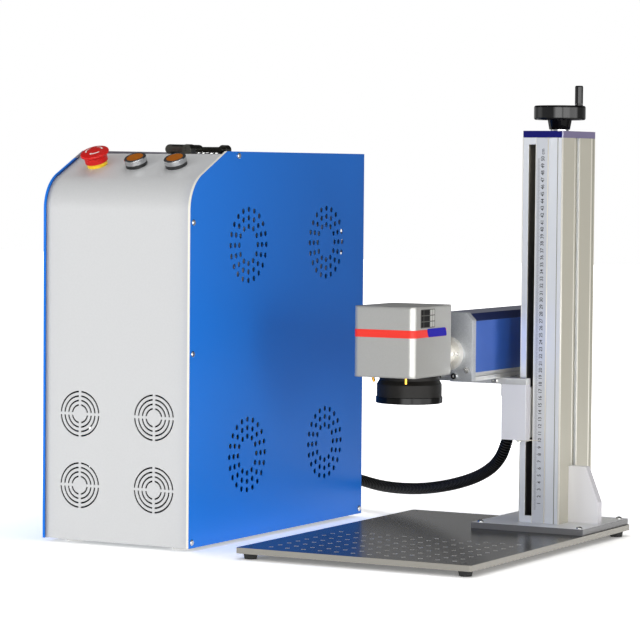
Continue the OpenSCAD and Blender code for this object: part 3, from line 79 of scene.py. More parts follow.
def add(tree, kind, inputs=None, **settings):
    node = tree.nodes.new("ShaderNode" + kind)
    for key, value in settings.items():
        setattr(node, key, value)
    for key, value in (inputs or {}).items():
        if isinstance(value, bpy.types.NodeSocket):
            tree.links.new(value, node.inputs[key])
        else:
            node.inputs[key].default_value = value
    return node


def math_node(tree, operation, a, b=0.0):
    return add(tree, "Math", {0: a, 1: b}, operation=operation).outputs[0]


def split(tree, kind, output):
    """The X, Y and Z of what an input node gives, such as a place or a normal."""
    return add(tree, "SeparateXYZ", {"Vector": add(tree, kind).outputs[output]}).outputs


def ramp(tree, value, start, end, at_start=0.0, at_end=1.0):
    """Runs from at_start to at_end while the value runs from start to end, and is level outside them."""
    limits = {"From Min": start, "From Max": end, "To Min": at_start, "To Max": at_end}
    return add(tree, "MapRange", {"Value": value, **limits}).outputs["Result"]


def empty_material(name):
    material = bpy.data.materials.new(name)
    material.use_nodes = True
    material.node_tree.nodes.clear()
    return material, material.node_tree


print("mid grey in linear light:", [round(c, 3) for c in colour("#808080")[:3]])

# %% [markdown]
# ## The camera
# The photograph was taken from the front right, a little above the column's middle, with a long lens: the
# verticals stay almost parallel. The place was found by matching the plate's corners, the cabinet's
# corners and the centimetre marks of the ruler, so the numbers below are a measurement, not a taste.

# %% Camera
CAMERA_AT, FOCAL_LENGTH, SENSOR_WIDTH = Vector((1970.56, -3716.77, 520.61)) * MM, 165.7, 36.0
azimuth, pitch, roll = math.radians(28.54), math.radians(2.866), math.radians(0.475)
back = Vector((math.sin(azimuth) * math.cos(pitch), -math.cos(azimuth) * math.cos(pitch), math.sin(pitch)))
right = Vector((math.cos(azimuth), math.sin(azimuth), 0))
up = back.cross(right)
turned_right = right * math.cos(roll) + up * math.sin(roll)
turned_up = up * math.cos(roll) - right * math.sin(roll)
lens = bpy.data.cameras.new("camera")
lens.lens, lens.sensor_width, lens.sensor_fit = FOCAL_LENGTH, SENSOR_WIDTH, "HORIZONTAL"
camera = bpy.data.objects.new("camera", lens)
bpy.context.scene.collection.objects.link(camera)
place = Matrix((turned_right, turned_up, back)).transposed().to_4x4()
place.translation = CAMERA_AT
camera.matrix_world = place
bpy.context.scene.camera = camera
print("camera distance to the origin:", round(place.translation.length, 3), "m")

# %% [markdown]
# ## The corrugated hose
# A black polymer hose carries the fibre and the wires from the arm to the back of the cabinet. It leaves
# its gland under the arm straight down, swings behind the work plate and turns back into the cabinet's
# rear panel. A smooth curve through a few points gives its line. Around that line, ring after ring of
# points is placed, wide and narrow by turns, which is how the real hose is moulded. At both ends the skin
# turns in to the bore.

# %% Hose line
hose_points = [
    (192.6, 124.3, 202.2), (192.6, 124.3, 185.2), (192.6, 124.3, 168.2), (192.6, 124.3, 151.2),
    (188, 125, 134), (178, 129, 114), (159, 139, 96), (128, 158, 80), (90, 182, 67), (47, 209, 56),
    (-2, 237, 47), (-51, 264, 42), (-99, 289, 41), (-143, 308, 45), (-180, 320, 50), (-213, 322, 54),
    (-241, 311, 57), (-258, 290, 59), (-263.4, 260, 60), (-263.4, 246, 60), (-263.4, 232, 60)]
hose_points = [Vector(p) * MM for p in hose_points]
STEPS_BETWEEN_POINTS = 24


def smooth_line(points, steps):
    """A curve that passes through every point, with a number of steps from each point to the next."""
    line = []
    for i in range(len(points) - 1):
        a, b = points[max(i - 1, 0)], points[i]
        c, d = points[i + 1], points[min(i + 2, len(points) - 1)]
        for k in range(steps):
            u = k / steps
            line.append((2 * b + (c - a) * u + (2 * a - 5 * b + 4 * c - d) * u * u
                         + (3 * b - 3 * c + d - a) * u ** 3) / 2)
    return line + [points[-1]]


def spaced(line, gap):
    """The same line, with its points at equal distances along it."""
    out, left = [line[0]], gap
    for a, b in zip(line, line[1:]):
        step = (b - a).length
        while step >= left:
            a = a + (b - a) * (left / step)
            out.append(a)
            step, left = (b - a).length, gap
        left -= step
    return out


hose_line = smooth_line(hose_points, STEPS_BETWEEN_POINTS)

# %% Hose mesh
HOSE_D, HOSE_BORE, HOSE_SIDES = 17.5 * MM, 12.5 * MM, 20
RIB_LENGTH = 3.8 * MM
# One rib: at these tenths of its length, the radius as a share of the hose's.
RIB_PROFILE = {0: 1.0, 3: 1.0, 5: 0.82, 8: 0.82}
BORE_ROWS = 2


def mesh_object(name, vertices, faces, material=None, smooth=False):
    mesh = bpy.data.meshes.new(name)
    mesh.from_pydata(vertices, [], faces)
    mesh.update()
    for polygon in mesh.polygons:
        polygon.use_smooth = smooth
    piece = bpy.data.objects.new(name, mesh)
    bpy.context.scene.collection.objects.link(piece)
    if material:
        mesh.materials.append(material)
    return piece


def tube(name, line, radii, sides, bore):
    """Rings of points along a line. At each end, two rows more go back a little way into the bore."""
    vertices, faces, side = [], [], Vector((1, 0, 0))
    inset = len(line) // 40
    rows = [(line[inset], bore), (line[0], bore), *zip(line, radii)]
    rows += [(line[-1], bore), (line[-1 - inset], bore)]
    for i, (centre, radius) in enumerate(rows):
        near = min(max(i - BORE_ROWS, 0), len(line) - 1)
        ahead = (line[min(near + 1, len(line) - 1)] - line[max(near - 1, 0)]).normalized()
        side = (side - ahead * side.dot(ahead)).normalized()
        across = ahead.cross(side)
        for k in range(sides):
            turn = math.tau * k / sides
            vertices.append(centre + radius * (math.cos(turn) * side + math.sin(turn) * across))
    for low in range(0, (len(rows) - 1) * sides, sides):
        for k in range(sides):
            j = (k + 1) % sides
            faces.append((low + k, low + j, low + sides + j, low + sides + k))
    piece = mesh_object(name, vertices, faces, smooth=True)
    for edge in piece.data.edges:
        a, b = edge.vertices
        edge.use_edge_sharp = a // sides == b // sides
    return piece


hose_ring_line, hose_radii = [], []
fine_line = spaced(hose_line, RIB_LENGTH / 10)
for i, point in enumerate(fine_line):
    if i % 10 in RIB_PROFILE or i == len(fine_line) - 1:
        hose_ring_line.append(point)
        hose_radii.append(HOSE_D / 2 * RIB_PROFILE.get(i % 10, 1.0))
hose_ring_line[-1] = hose_line[-1]
hose = tube("hose_ribbed", hose_ring_line, hose_radii, HOSE_SIDES, HOSE_BORE / 2)
print("rings along the hose:", len(hose_ring_line))

# %% [markdown]
# ## Finishes
# Nearly every surface here is one of four things: powder coat, anodised or raw aluminium, plated steel
# and moulded plastic. They differ in colour, in how sharp their reflections are, and in a fine relief of a
# known size in millimetres: orange peel for powder coat, long drawing lines for an extrusion, pits for a
# bead-blasted part. One recipe takes these values, so that each finish is a line of plain numbers. A small
# bevel in the shading keeps edges from looking razor sharp.

# %% The general recipe
finishes = {}


def finish(name, base, rough, metal=0.0, grain=1.0, depth=0.0, stretch=(1, 1, 1), second=None, patch=60.0,
           edge=0.4, coat=0.0, uneven=0.0, ior=1.5):
    """In mm: grain and depth are the relief's size and height, patch the colour's drift, edge the bevel."""
    material, tree = empty_material(name)
    where = add(tree, "TexCoord").outputs["Object"]
    shader = add(tree, "BsdfPrincipled", {"Base Color": colour(base), "Roughness": rough, "Metallic": metal,
                 "Coat Weight": coat, "Coat Roughness": 0.08})
    if not metal:
        shader.inputs["IOR"].default_value = ior
    normal = add(tree, "Bevel", {"Radius": edge * MM}, samples=4).outputs["Normal"]
    if depth:
        placed = add(tree, "Mapping", {"Vector": where, "Scale": stretch}).outputs["Vector"]
        relief = add(tree, "TexNoise", {"Vector": placed, "Scale": 1 / (grain * MM), "Detail": 3.0})
        normal = add(tree, "Bump", {"Height": relief.outputs["Fac"], "Distance": depth * MM,
                     "Normal": normal}).outputs["Normal"]
        if uneven:
            drift = ramp(tree, relief.outputs["Fac"], 0.3, 0.7, rough - uneven, rough + uneven)
            tree.links.new(drift, shader.inputs["Roughness"])
    tree.links.new(normal, shader.inputs["Normal"])
    if second:
        cloud = add(tree, "TexNoise", {"Vector": where, "Scale": 1 / (patch * MM), "Detail": 4.0})
        mix = add(tree, "Mix", {"Factor": cloud.outputs["Fac"]}, data_type="RGBA")
        mix.inputs[6].default_value, mix.inputs[7].default_value = colour(base), colour(second)
        tree.links.new(mix.outputs[2], shader.inputs["Base Color"])
    add(tree, "OutputMaterial", {"Surface": shader.outputs["BSDF"]})
    finishes[name] = material
    return tree, shader


print("finish recipe ready")

# %% [markdown]
# ### Two colours on one part
# Some parts have a second colour on some of their faces: a dyed top with bare sides, or painted light and
# shade on the faces that look one way. A mask from 0 to 1 picks between the two, from the way a surface
# looks or from its place.

# %% Masks and their colours
def two_colours(tree, shader, mask, where_off, where_on):
    """Each colour is a hex code, or the output of another node."""
    both = add(tree, "Mix", {"Factor": mask}, data_type="RGBA")
    for slot, value in ((6, where_off), (7, where_on)):
        if isinstance(value, str):
            both.inputs[slot].default_value = colour(value)
        else:
            tree.links.new(value, both.inputs[slot])
    tree.links.new(both.outputs[2], shader.inputs["Base Color"])
    return both.outputs[2]


def above(tree, value, limit):
    return math_node(tree, "GREATER_THAN", value, limit)


def between(tree, value, limits):
    low, high = limits
    return math_node(tree, "MULTIPLY", above(tree, value, low), math_node(tree, "LESS_THAN", value, high))


def facing(tree, axis, limit):
    """1 where the surface looks along an axis, either way, and 0 elsewhere."""
    return above(tree, math_node(tree, "ABSOLUTE", split(tree, "NewGeometry", "True Normal")[axis]), limit)


print("masks ready")

# %% [markdown]
# ### Powder coat
# The sheets and the scan head are sprayed with dry powder and baked. The skin is thick and slightly wavy,
# an orange peel about a millimetre across, with soft highlights. The head's coat has metal flakes. Its top
# and its underside, which turn away from the lamps, are painted a darker grey: painted shade.

# %% Powder coats
finish("grey_powder_coat", "#d2d3d4", 0.42, grain=0.9, depth=0.012, second="#cbcccd", patch=3, edge=0.5)
tree, shader = finish("silver_powder_coat", "#b3b3b0", 0.3, metal=0.35, grain=0.5, depth=0.012,
                      second="#a5a5a2", patch=1.2, edge=5.0)
flaked = shader.inputs["Base Color"].links[0].from_socket
# The head's top and underside get a darker grey as painted shade.
two_colours(tree, shader, facing(tree, "Z", 0.7), flaked, "#7c7b75")
finish("white_powder_coat", "#d9d8d2", 0.45, grain=1.0, depth=0.01, second="#cfcec8", patch=40)
finish("red_enamel_band", "#f5301f", 0.4, grain=0.6, depth=0.006, second="#ef2c1e", patch=20, ior=1.45)
print("powder coats:", len(finishes))

# %% [markdown]
# ### Blue panels
# The right panel's folded edge catches the lamp as a pale line, and this highlight is painted on in cream:
# near the front and top rim, what doesn't look sideways gets the painted highlight. The walls of the holes
# stay blue. The blue is painted deeper towards the top and the back and lighter low down, as painted shade
# above and painted floor bounce below. The left panel's top rim is painted grey and the faces that look
# inwards a darker blue, both as painted shade.

# %% Blue panels
BLUE, BLUE_SHADED = "#1678e4", "#114c9e"
BLUE_LIT_LOW, BLUE_SHADED_HIGH = "#187ce9", "#1266c3"
FOLD_HIGHLIGHT, SHADED_RIM = "#f1ede2", "#8f8c98"
HIGHLIT_ABOVE_Z, HIGHLIT_BEFORE_Y, SHADED_RIM_ABOVE_Z = 0.475, -0.272, 0.5385
SIDEWAYS = 0.5
panel_coat = {"grain": 1.1, "depth": 0.010, "edge": 0.5, "ior": 1.25}

# The cream on the fold is a painted highlight.
tree, shader = finish("blue_coat_highlit_fold", BLUE, 0.36, **panel_coat)
spot = split(tree, "NewGeometry", "Position")
rim = math_node(tree, "MAXIMUM", above(tree, spot["Z"], HIGHLIT_ABOVE_Z),
                math_node(tree, "LESS_THAN", spot["Y"], HIGHLIT_BEFORE_Y))
fold = math_node(tree, "SUBTRACT", rim, facing(tree, "X", SIDEWAYS))
# The blue darkens upwards and backwards: painted shade above, painted floor bounce below.
shade_upwards = ramp(tree, math_node(tree, "ADD", spot["Y"], spot["Z"]), -0.1, 0.6)
blue = two_colours(tree, shader, shade_upwards, BLUE_LIT_LOW, BLUE_SHADED_HIGH)
two_colours(tree, shader, fold, blue, FOLD_HIGHLIGHT)

# The grey along the top of the rim and the darker blue on the inward faces are painted shade.
tree, shader = finish("blue_coat_shaded_rim", BLUE, 0.36, **panel_coat)
spot = split(tree, "NewGeometry", "Position")
sideways = split(tree, "NewGeometry", "True Normal")["X"]
rim = math_node(tree, "MULTIPLY", above(tree, spot["Z"], SHADED_RIM_ABOVE_Z), above(tree, sideways, -SIDEWAYS))
shaded = two_colours(tree, shader, above(tree, sideways, SIDEWAYS), BLUE, BLUE_SHADED)
two_colours(tree, shader, rim, shaded, SHADED_RIM)
print("blue panels ready")

# %% [markdown]
# ### Aluminium
# The column is drawn through a die and anodised: matt, with faint lines along its length. Its front is a
# cool grey, the ruler's strip a little darker. Its sides are painted warm, a painted reflection of the warm
# lamp on the right, and the slot's inside is painted dark, as painted shade that lightens towards the top.
# The arm's end plates are bead blasted, which leaves pits that sparkle. The cap on the column is dyed navy,
# and its faces that look sideways are given a purple grey. The lens barrel is glossy below its ring and
# dull above it.

# %% Aluminium finishes
RULER_X, SLOT_X, SLOT_Y = (0.2407, 0.2595), (0.2215, 0.262), (0.1018, 0.2135)
BARREL_RING_Z = 0.2127
tree, shader = finish("anodised_extrusion", "#d6d8da", 0.4, metal=0.3, grain=0.5, depth=0.006,
                      stretch=(1, 1, 0.02), edge=0.7, uneven=0.04)
spot = split(tree, "NewGeometry", "Position")
front_colour = two_colours(tree, shader, between(tree, spot["X"], RULER_X), "#dde0e4", "#cdd0d5")
# The warm tint on the sides is a painted reflection of the warm lamp on the right.
lit_sides = two_colours(tree, shader, facing(tree, "X", 0.7), front_colour, "#c1beb1")
slot = math_node(tree, "MULTIPLY", between(tree, spot["X"], SLOT_X), between(tree, spot["Y"], SLOT_Y))
# The slot's inside is painted dark as painted shade in the recess, lighter towards the top.
slot_shade = two_colours(tree, shader, ramp(tree, spot["Z"], 0.38, 0.57), "#545453", "#b0ac9f")
two_colours(tree, shader, slot, lit_sides, slot_shade)
finish("milled_aluminium", "#d0d1d0", 0.34, metal=0.6, grain=0.7, depth=0.006, stretch=(0.05, 1, 1),
       second="#c4c4c2", patch=6, edge=0.6, uneven=0.05)
tree, shader = finish("sawn_aluminium", "#c9cac9", 0.36, metal=0.2, grain=0.7, depth=0.012,
                      stretch=(0.3, 1, 1), edge=0.6, uneven=0.05)
# The foot block's top is painted light and its sides dark: painted light and painted shade.
two_colours(tree, shader, facing(tree, "Z", 0.7), "#7a7a7c", "#e4e5e6")
tree, shader = finish("silk_anodised_plate", "#f4f4f8", 0.42, metal=0.05, grain=0.5, depth=0.006, edge=0.6)
# Faces that look sideways are painted a darker grey as painted shade.
two_colours(tree, shader, facing(tree, "X", 0.7), "#eaeaee", "#cac9d0")
finish("bead_blasted_aluminium", "#cfd2d6", 0.38, metal=0.4, grain=0.45, depth=0.05,
       second="#8f9297", patch=0.9, edge=0.9, uneven=0.08)
finish("turned_aluminium", "#efede7", 0.33, metal=0.4, grain=0.35, depth=0.006,
       second="#e4e2dc", patch=5, edge=0.5)
tree, shader = finish("blue_anodised_tube", "#3a6ccb", 0.3, metal=0.6, grain=0.5, depth=0.004,
                      stretch=(1, 0.02, 1), edge=0.6)
# Faces that look up or down are painted dark navy: a painted dark reflection above, painted shade below.
two_colours(tree, shader, facing(tree, "Z", 0.3), "#3666c2", "#1d2f6c")
tree, shader = finish("navy_anodised_cap", "#0d1066", 0.36, grain=0.5, depth=0.004,
                      stretch=(0.05, 1, 1), edge=0.8, ior=1.25)
# Faces that look sideways are given a purple grey.
two_colours(tree, shader, facing(tree, "X", 0.7), "#0d1066", "#736c8c")
tree, shader = finish("black_anodised_barrel", "#1f1e1d", 0.36, grain=0.3, depth=0.006, edge=0.4, ior=1.22)
height = split(tree, "TexCoord", "Object")["Z"]
turned = ramp(tree, height, 0.2125, 0.213, 0.14, 0.4)
tree.links.new(turned, shader.inputs["Roughness"])
two_colours(tree, shader, above(tree, height, BARREL_RING_Z), "#0a0a0a", "#1f1e1d")
finish("bare_pointer", "#c9c6bd", 0.3, metal=0.7, grain=0.4, depth=0.004)
print("aluminium finishes ready")

# %% [markdown]
# ### The work plate
# Its top is dyed black, with a low sheen, and reads as a dark grey under the lamps. The sides were milled
# after dyeing, so they are bright. Again the surface's direction picks the colour: what looks up or down is
# dyed, and the rest is bare.

# %% Work plate finish
tree, shader = finish("black_dyed_plate", "#3e3e3c", 0.24, metal=0.2, grain=0.8, depth=0.003, edge=0.4)
two_colours(tree, shader, facing(tree, "Z", 0.7), "#928f87", "#3e3e3c")
print("work plate ready")

# %% [markdown]
# ### Steel, brass, plastics and rubber
# Screws are bright zinc, the rods and the screw are ground steel, and the push buttons have turned,
# polished bezels. The handwheel is a glossy moulding, fans and glands are duller ones; the fans are made
# near black as painted shade inside the cabinet. The plate stands on black rubber feet and the cabinet on
# clear ones. The hose's grooves are painted darker than its crowns, as painted shade in the creases.

# %% Steel, brass, plastics and rubber
finish("bright_zinc", "#c8c8c6", 0.25, metal=1.0, grain=1.5, depth=0.01, edge=0.3)
finish("galvanised_sheet", "#a8aaab", 0.4, metal=0.9, grain=8, depth=0.01, second="#94979a", patch=9)
finish("ground_steel", "#a9aaab", 0.22, metal=1.0, grain=0.4, depth=0.004, stretch=(1, 1, 0.05))
finish("polished_steel", "#c3c4c6", 0.16, metal=1.0, grain=3, depth=0.003, edge=0.5)
finish("dark_chrome", "#55554f", 0.22, metal=0.9, grain=4, depth=0.01, second="#3b3c38", patch=14, edge=0.5)
finish("turned_brass", "#d49b3a", 0.25, metal=1.0, grain=0.4, depth=0.006, edge=0.3)
finish("glossy_black_moulding", "#0f0f10", 0.1, grain=2.5, depth=0.01, edge=0.8, ior=1.31)
finish("black_moulding", "#202122", 0.45, grain=0.7, depth=0.012, edge=0.5)
# Black plastic, made near black as painted shade inside the cabinet.
finish("fan_plastic_and_shade", "#030304", 0.6, grain=1.0, depth=0.01, edge=0.5, ior=1.2)
finish("matt_rubber", "#1b1b1b", 0.75, grain=0.8, depth=0.03, edge=0.6)
finish("clear_bumper_rubber", "#dededc", 0.5, grain=1.2, depth=0.02, edge=0.6, ior=1.45)
finish("hose_polyamide", "#343434", 0.45, grain=1.2, depth=0.008, edge=0.1, ior=1.35)
finish("hose_groove_shade", "#050506", 0.5, grain=1.2, depth=0.008, edge=0.1, ior=1.2)
finish("red_moulding", "#d21b17", 0.28, grain=0.9, depth=0.008, edge=0.8, ior=1.35)
finish("yellow_moulding", "#ffd82e", 0.35, grain=0.9, depth=0.008, edge=0.5)
finish("amber_acrylic", "#b6660c", 0.26, grain=1.5, depth=0.01, second="#9e560a", patch=12, edge=0.5,
       ior=1.3)
finish("green_solder_mask", "#1d7a3c", 0.3, grain=1.2, depth=0.03, second="#14602e", patch=5, coat=0.3)
finish("yellow_tape", "#e2c21a", 0.35, grain=3, depth=0.06, stretch=(1, 1, 0.3), second="#cda90e", patch=10)
finish("mirror_coating", "#e6e2cf", 0.03, metal=1.0, edge=0.1)
print("finishes:", len(finishes))

# %% [markdown]
# ### Lens glass
# The scan lens has a violet anti-reflex coating. Glass needs both reflection and transmission, and light
# has to leave it again, so the Principled shader's transmission is used with the index of crown glass.

# %% Lens glass
glass, tree = empty_material("coated_lens_glass")
shader = add(tree, "BsdfPrincipled", {"Base Color": colour("#dfe3f5"), "Roughness": 0.02, "IOR": 1.52,
             "Transmission Weight": 1.0, "Coat Weight": 0.5, "Coat Tint": colour("#b98cff")})
add(tree, "OutputMaterial", {"Surface": shader.outputs["BSDF"]})
finishes["coated_lens_glass"] = glass

# %% Give every CAD node its finish
node_finish = {
    "grey_powder_coat": ["front_wrap", "rear_panel"],
    "blue_coat_shaded_rim": ["side_panel_left"],
    "blue_coat_highlit_fold": ["side_panel_right"],
    "galvanised_sheet": ["base_tray", "inner_shelf", "power_supply"],
    "matt_rubber": ["plate_feet"],
    "clear_bumper_rubber": ["cabinet_feet"],
    "bright_zinc": ["panel_screws", "foot_screws", "arm_screws"],
    "fan_plastic_and_shade": ["fan_frames", "fan_rotor_1", "fan_rotor_2", "fan_rotor_3", "fan_rotor_4"],
    "white_powder_coat": ["laser_source"],
    "green_solder_mask": ["control_board"],
    "yellow_tape": ["transformer"],
    "yellow_moulding": ["stop_base"],
    "red_moulding": ["stop_stem", "stop_head", "mains_rocker"],
    "black_moulding": ["button_bodies", "power_inlet", "rear_gland", "arm_gland"],
    "polished_steel": ["button_bezels"],
    "amber_acrylic": ["button_lens_1", "button_lens_2"],
    "dark_chrome": ["handle_base", "handle_bail"],
    "black_dyed_plate": ["base_plate"],
    "milled_aluminium": ["arm_rail", "arm_bracket", "slider_block"],
    "sawn_aluminium": ["foot_block"],
    "silk_anodised_plate": ["foot_gusset", "carriage_plate"],
    "anodised_extrusion": ["column"],
    "navy_anodised_cap": ["top_cap"],
    "ground_steel": ["guide_rods", "lead_screw"],
    "glossy_black_moulding": ["handwheel", "crank_grip"],
    "turned_brass": ["lead_nut", "focus_pointers"],
    "bare_pointer": ["ruler_pointer"],
    "blue_anodised_tube": ["arm_tube"],
    "bead_blasted_aluminium": ["arm_end_plates", "galvo_block"],
    "turned_aluminium": ["collimator"],
    "silver_powder_coat": ["head_housing"],
    "red_enamel_band": ["head_stripe"],
    "black_anodised_barrel": ["lens_barrel"],
    "coated_lens_glass": ["lens_glass"],
    "mirror_coating": ["mirror_x", "mirror_y"],
    "hose_polyamide": ["hose"],
}
dressed = set()
for name, nodes in node_finish.items():
    for node in nodes:
        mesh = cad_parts[node].data
        mesh.materials.clear()
        mesh.materials.append(finishes[name])
        dressed.add(node)
print("nodes without a finish:", sorted(set(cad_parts) - dressed))

# %% Hose finishes, in place of the CAD hose
for name in ("hose_polyamide", "hose_groove_shade"):
    hose.data.materials.append(finishes[name])
# A face that touches a narrow ring belongs to a groove, and grooves get a darker finish: painted shade in
# the creases.
for polygon in hose.data.polygons:
    ring = polygon.index // HOSE_SIDES - BORE_ROWS
    if 0 <= ring < len(hose_radii) - 1:
        polygon.material_index = int(min(hose_radii[ring:ring + 2]) < 0.98 * HOSE_D / 2)
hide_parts("hose")
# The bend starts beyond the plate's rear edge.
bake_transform(hose)

# %% [markdown]
# ## The ruler
# A centimetre scale is engraved and inked on the column's front, from 1 to 50, with a short line for each
# millimetre. The numbers lie on their side. Text objects make the outlines of the numbers. They are
# turned, set in place and joined into one flat mesh, which is lighter than fifty objects.

# %% Ruler marks and numbers
finish("engraver_ink", "#2b2b30", 0.6, grain=0.5, depth=0.004, edge=0.05)
LENGTH_CM, INK_PROUD, HALF_LINE = 50, 0.06 * MM, 0.11 * MM
LONG_LINE, MIDDLE_LINE, SHORT_LINE = 5.2, 4.2, 3.0
LETTER_SIZE, LETTER_WEIGHT = 7.0 * MM, 0.1 * MM
ON_ITS_SIDE = Matrix(((0, -1, 0), (0, 0, -1), (1, 0, 0))).to_4x4()
column_low, column_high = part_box("column")
face_y = column_low.y - INK_PROUD
mark_x, number_x = column_low.x + 23.6 * MM, column_low.x + 31.6 * MM
zero_z = 42.8 * MM
marks = bmesh.new()
for step in range(1, 10 * LENGTH_CM + 1):
    height = zero_z + step * MM
    reach = LONG_LINE if step % 10 == 0 else MIDDLE_LINE if step % 5 == 0 else SHORT_LINE
    left, right_end, low, high = mark_x, mark_x + reach * MM, height - HALF_LINE, height + HALF_LINE
    corners = ((left, low), (right_end, low), (right_end, high), (left, high))
    marks.faces.new([marks.verts.new((x, face_y, z)) for x, z in corners])
for number in range(1, LENGTH_CM + 2):
    text = bpy.data.curves.new("number", "FONT")
    text.body = str(number) if number <= LENGTH_CM else "cm"
    text.size, text.align_x, text.align_y = LETTER_SIZE, "CENTER", "CENTER"
    text.offset = LETTER_WEIGHT
    word = bpy.data.objects.new("number", text)
    bpy.context.scene.collection.objects.link(word)
    outline = bpy.data.meshes.new_from_object(word.evaluated_get(bpy.context.evaluated_depsgraph_get()))
    centre = Vector((number_x, face_y, zero_z + number * 10 * MM))
    outline.transform(Matrix.Translation(centre) @ ON_ITS_SIDE)
    marks.from_mesh(outline)
    bpy.data.objects.remove(word)
    bpy.data.meshes.remove(outline)
    bpy.data.curves.remove(text)
ruler_mesh = bpy.data.meshes.new("ruler_marks")
marks.to_mesh(ruler_mesh)
marks.free()
ruler_mesh.materials.append(finishes["engraver_ink"])
ruler = bpy.data.objects.new("ruler_marks", ruler_mesh)
bpy.context.scene.collection.objects.link(ruler)
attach(ruler, "frame")
print("ruler faces:", len(ruler_mesh.polygons))

# %% [markdown]
# ## Painted highlights on the extrusion's edges
# Where two faces of the column meet, the die leaves a rounded edge. Its highlight is painted as a bright
# line along the whole height, and the shade in a groove beside it as a dull one. Each line is a thin half
# round bead, proud of the face. One more is a painted highlight on the front right corner of the cap.

# %% Painted edge highlights
finish("painted_edge_highlight", "#fbf8ee", 0.3, metal=0.1, grain=0.6, depth=0.002, stretch=(1, 1, 0.02), edge=0.05)
finish("shadow_line", "#8d8b80", 0.5, metal=0.1, grain=0.6, depth=0.002, stretch=(1, 1, 0.02), edge=0.05)
BEAD_PROUD, BEAD_STEPS = 0.25 * MM, 6


def bead(name, x, y, facing_x, width, z0, z1, material):
    """A half round bead along Z, on the column's front (facing_x 0) or right side (facing_x 1)."""
    vertices, faces, steps = [], [], BEAD_STEPS
    for z in (z0, z1):
        for k in range(steps + 1):
            turn = math.pi * k / steps
            along, out = -width / 2 * math.cos(turn), BEAD_PROUD * math.sin(turn)
            vertices.append((x + out, y + along, z) if facing_x else (x + along, y - out, z))
    for k in range(steps):
        faces.append((k, k + 1, k + steps + 2, k + steps + 1))
    faces += [tuple(range(steps, -1, -1)), tuple(range(steps + 1, 2 * steps + 2))]
    piece = mesh_object(name, vertices, faces, material, smooth=True)
    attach(piece, "frame")


# Each line's place across the face and its width, in mm from the column's front left corner for the front
# and from its front right one for the side.
FRONT_LINES = [(0.5, 1.0, "painted_edge_highlight"), (20.6, 0.9, "painted_edge_highlight"), (39.4, 2.0, "painted_edge_highlight"),
               (54.2, 0.9, "shadow_line"), (61.2, 2.2, "painted_edge_highlight")]
SIDE_LINES = [(0.8, 1.5, "painted_edge_highlight"), (42.0, 2.2, "painted_edge_highlight"), (59.2, 2.4, "painted_edge_highlight"),
              (101.5, 2.6, "painted_edge_highlight"), (107.5, 2.0, "shadow_line")]
front, side = column_low.y, column_high.x
foot, head = column_low.z, column_high.z
for i, (at, width, kind) in enumerate(FRONT_LINES):
    bead("front_line_%d" % (i + 1), column_low.x + at * MM, front, 0, width * MM, foot, head,
         finishes[kind])
for i, (at, width, kind) in enumerate(SIDE_LINES):
    bead("side_line_%d" % (i + 1), side, front + at * MM, 1, width * MM, foot, head,
         finishes[kind])
cap_low, cap_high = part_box("top_cap")
# A bright bead as a painted highlight on the cap's corner.
finish("cap_corner_highlight", "#d9d8f2", 0.3, metal=0.1, grain=0.6, depth=0.002, edge=0.05)
bead("cap_corner", cap_high.x - 0.9 * MM, cap_low.y, 0, 1.7 * MM, cap_low.z, cap_high.z,
     finishes["cap_corner_highlight"])
print("lines along the column:", len(FRONT_LINES) + len(SIDE_LINES))

# %% [markdown]
# ## Bright rims in the work plate
# The holes were countersunk after the dyeing, so each has a narrow ring of bare metal, painted near white
# as a painted highlight for the light that the holes' walls reflect.

# %% Countersink rings
# The pitch, the first hole and the circles' radii and heights are in mm.
HOLES_X, HOLES_Y, HOLE_PITCH, FIRST_HOLE = 12, 9, 25, (27.1, -276, 16.03)
RIM_CIRCLES, RIM_SIDES = ((2.15, -0.02), (3.1, 0.0)), 16
rings_vertices, rings_faces = [], []
for i in range(HOLES_X):
    for j in range(HOLES_Y):
        x, y, z = FIRST_HOLE
        centre = Vector((x + HOLE_PITCH * i, y + HOLE_PITCH * j, z)) * MM
        first = len(rings_vertices)
        for radius, drop in RIM_CIRCLES:
            for k in range(RIM_SIDES):
                turn = math.tau * k / RIM_SIDES
                spoke = Vector((radius * math.cos(turn), radius * math.sin(turn), drop))
                rings_vertices.append(centre + spoke * MM)
        for k in range(RIM_SIDES):
            a, b = first + k, first + (k + 1) % RIM_SIDES
            rings_faces.append((a, b, b + RIM_SIDES, a + RIM_SIDES))
finish("countersink_and_highlight", "#fbfaf6", 0.7, grain=0.5, depth=0.002, edge=0.05)
rims = mesh_object("hole_rims", rings_vertices, rings_faces, finishes["countersink_and_highlight"])
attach(rims, "frame")
print("rim faces:", len(rings_faces))

# %% [markdown]
# ## Plates on the head
# The head's side carries a plain blue tag and a dark plate with a grid of cells. Each piece is an outline
# with rounded corners, extruded a fraction of a millimetre.

# %% Plates on the head
finish("blue_printed_foil", "#1d16a6", 0.35, grain=2, depth=0.002, edge=0.1, ior=1.15)
finish("dark_printed_foil", "#5c5c5a", 0.4, grain=2, depth=0.002, edge=0.1, ior=1.15)
finish("black_cell_foil", "#141414", 0.4, grain=2, depth=0.002, edge=0.05, ior=1.15)
finish("pale_cell_foil", "#b9bab6", 0.4, grain=2, depth=0.002, edge=0.05, ior=1.3)
CORNER_POINTS = 6
head_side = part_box("head_housing")[1].x


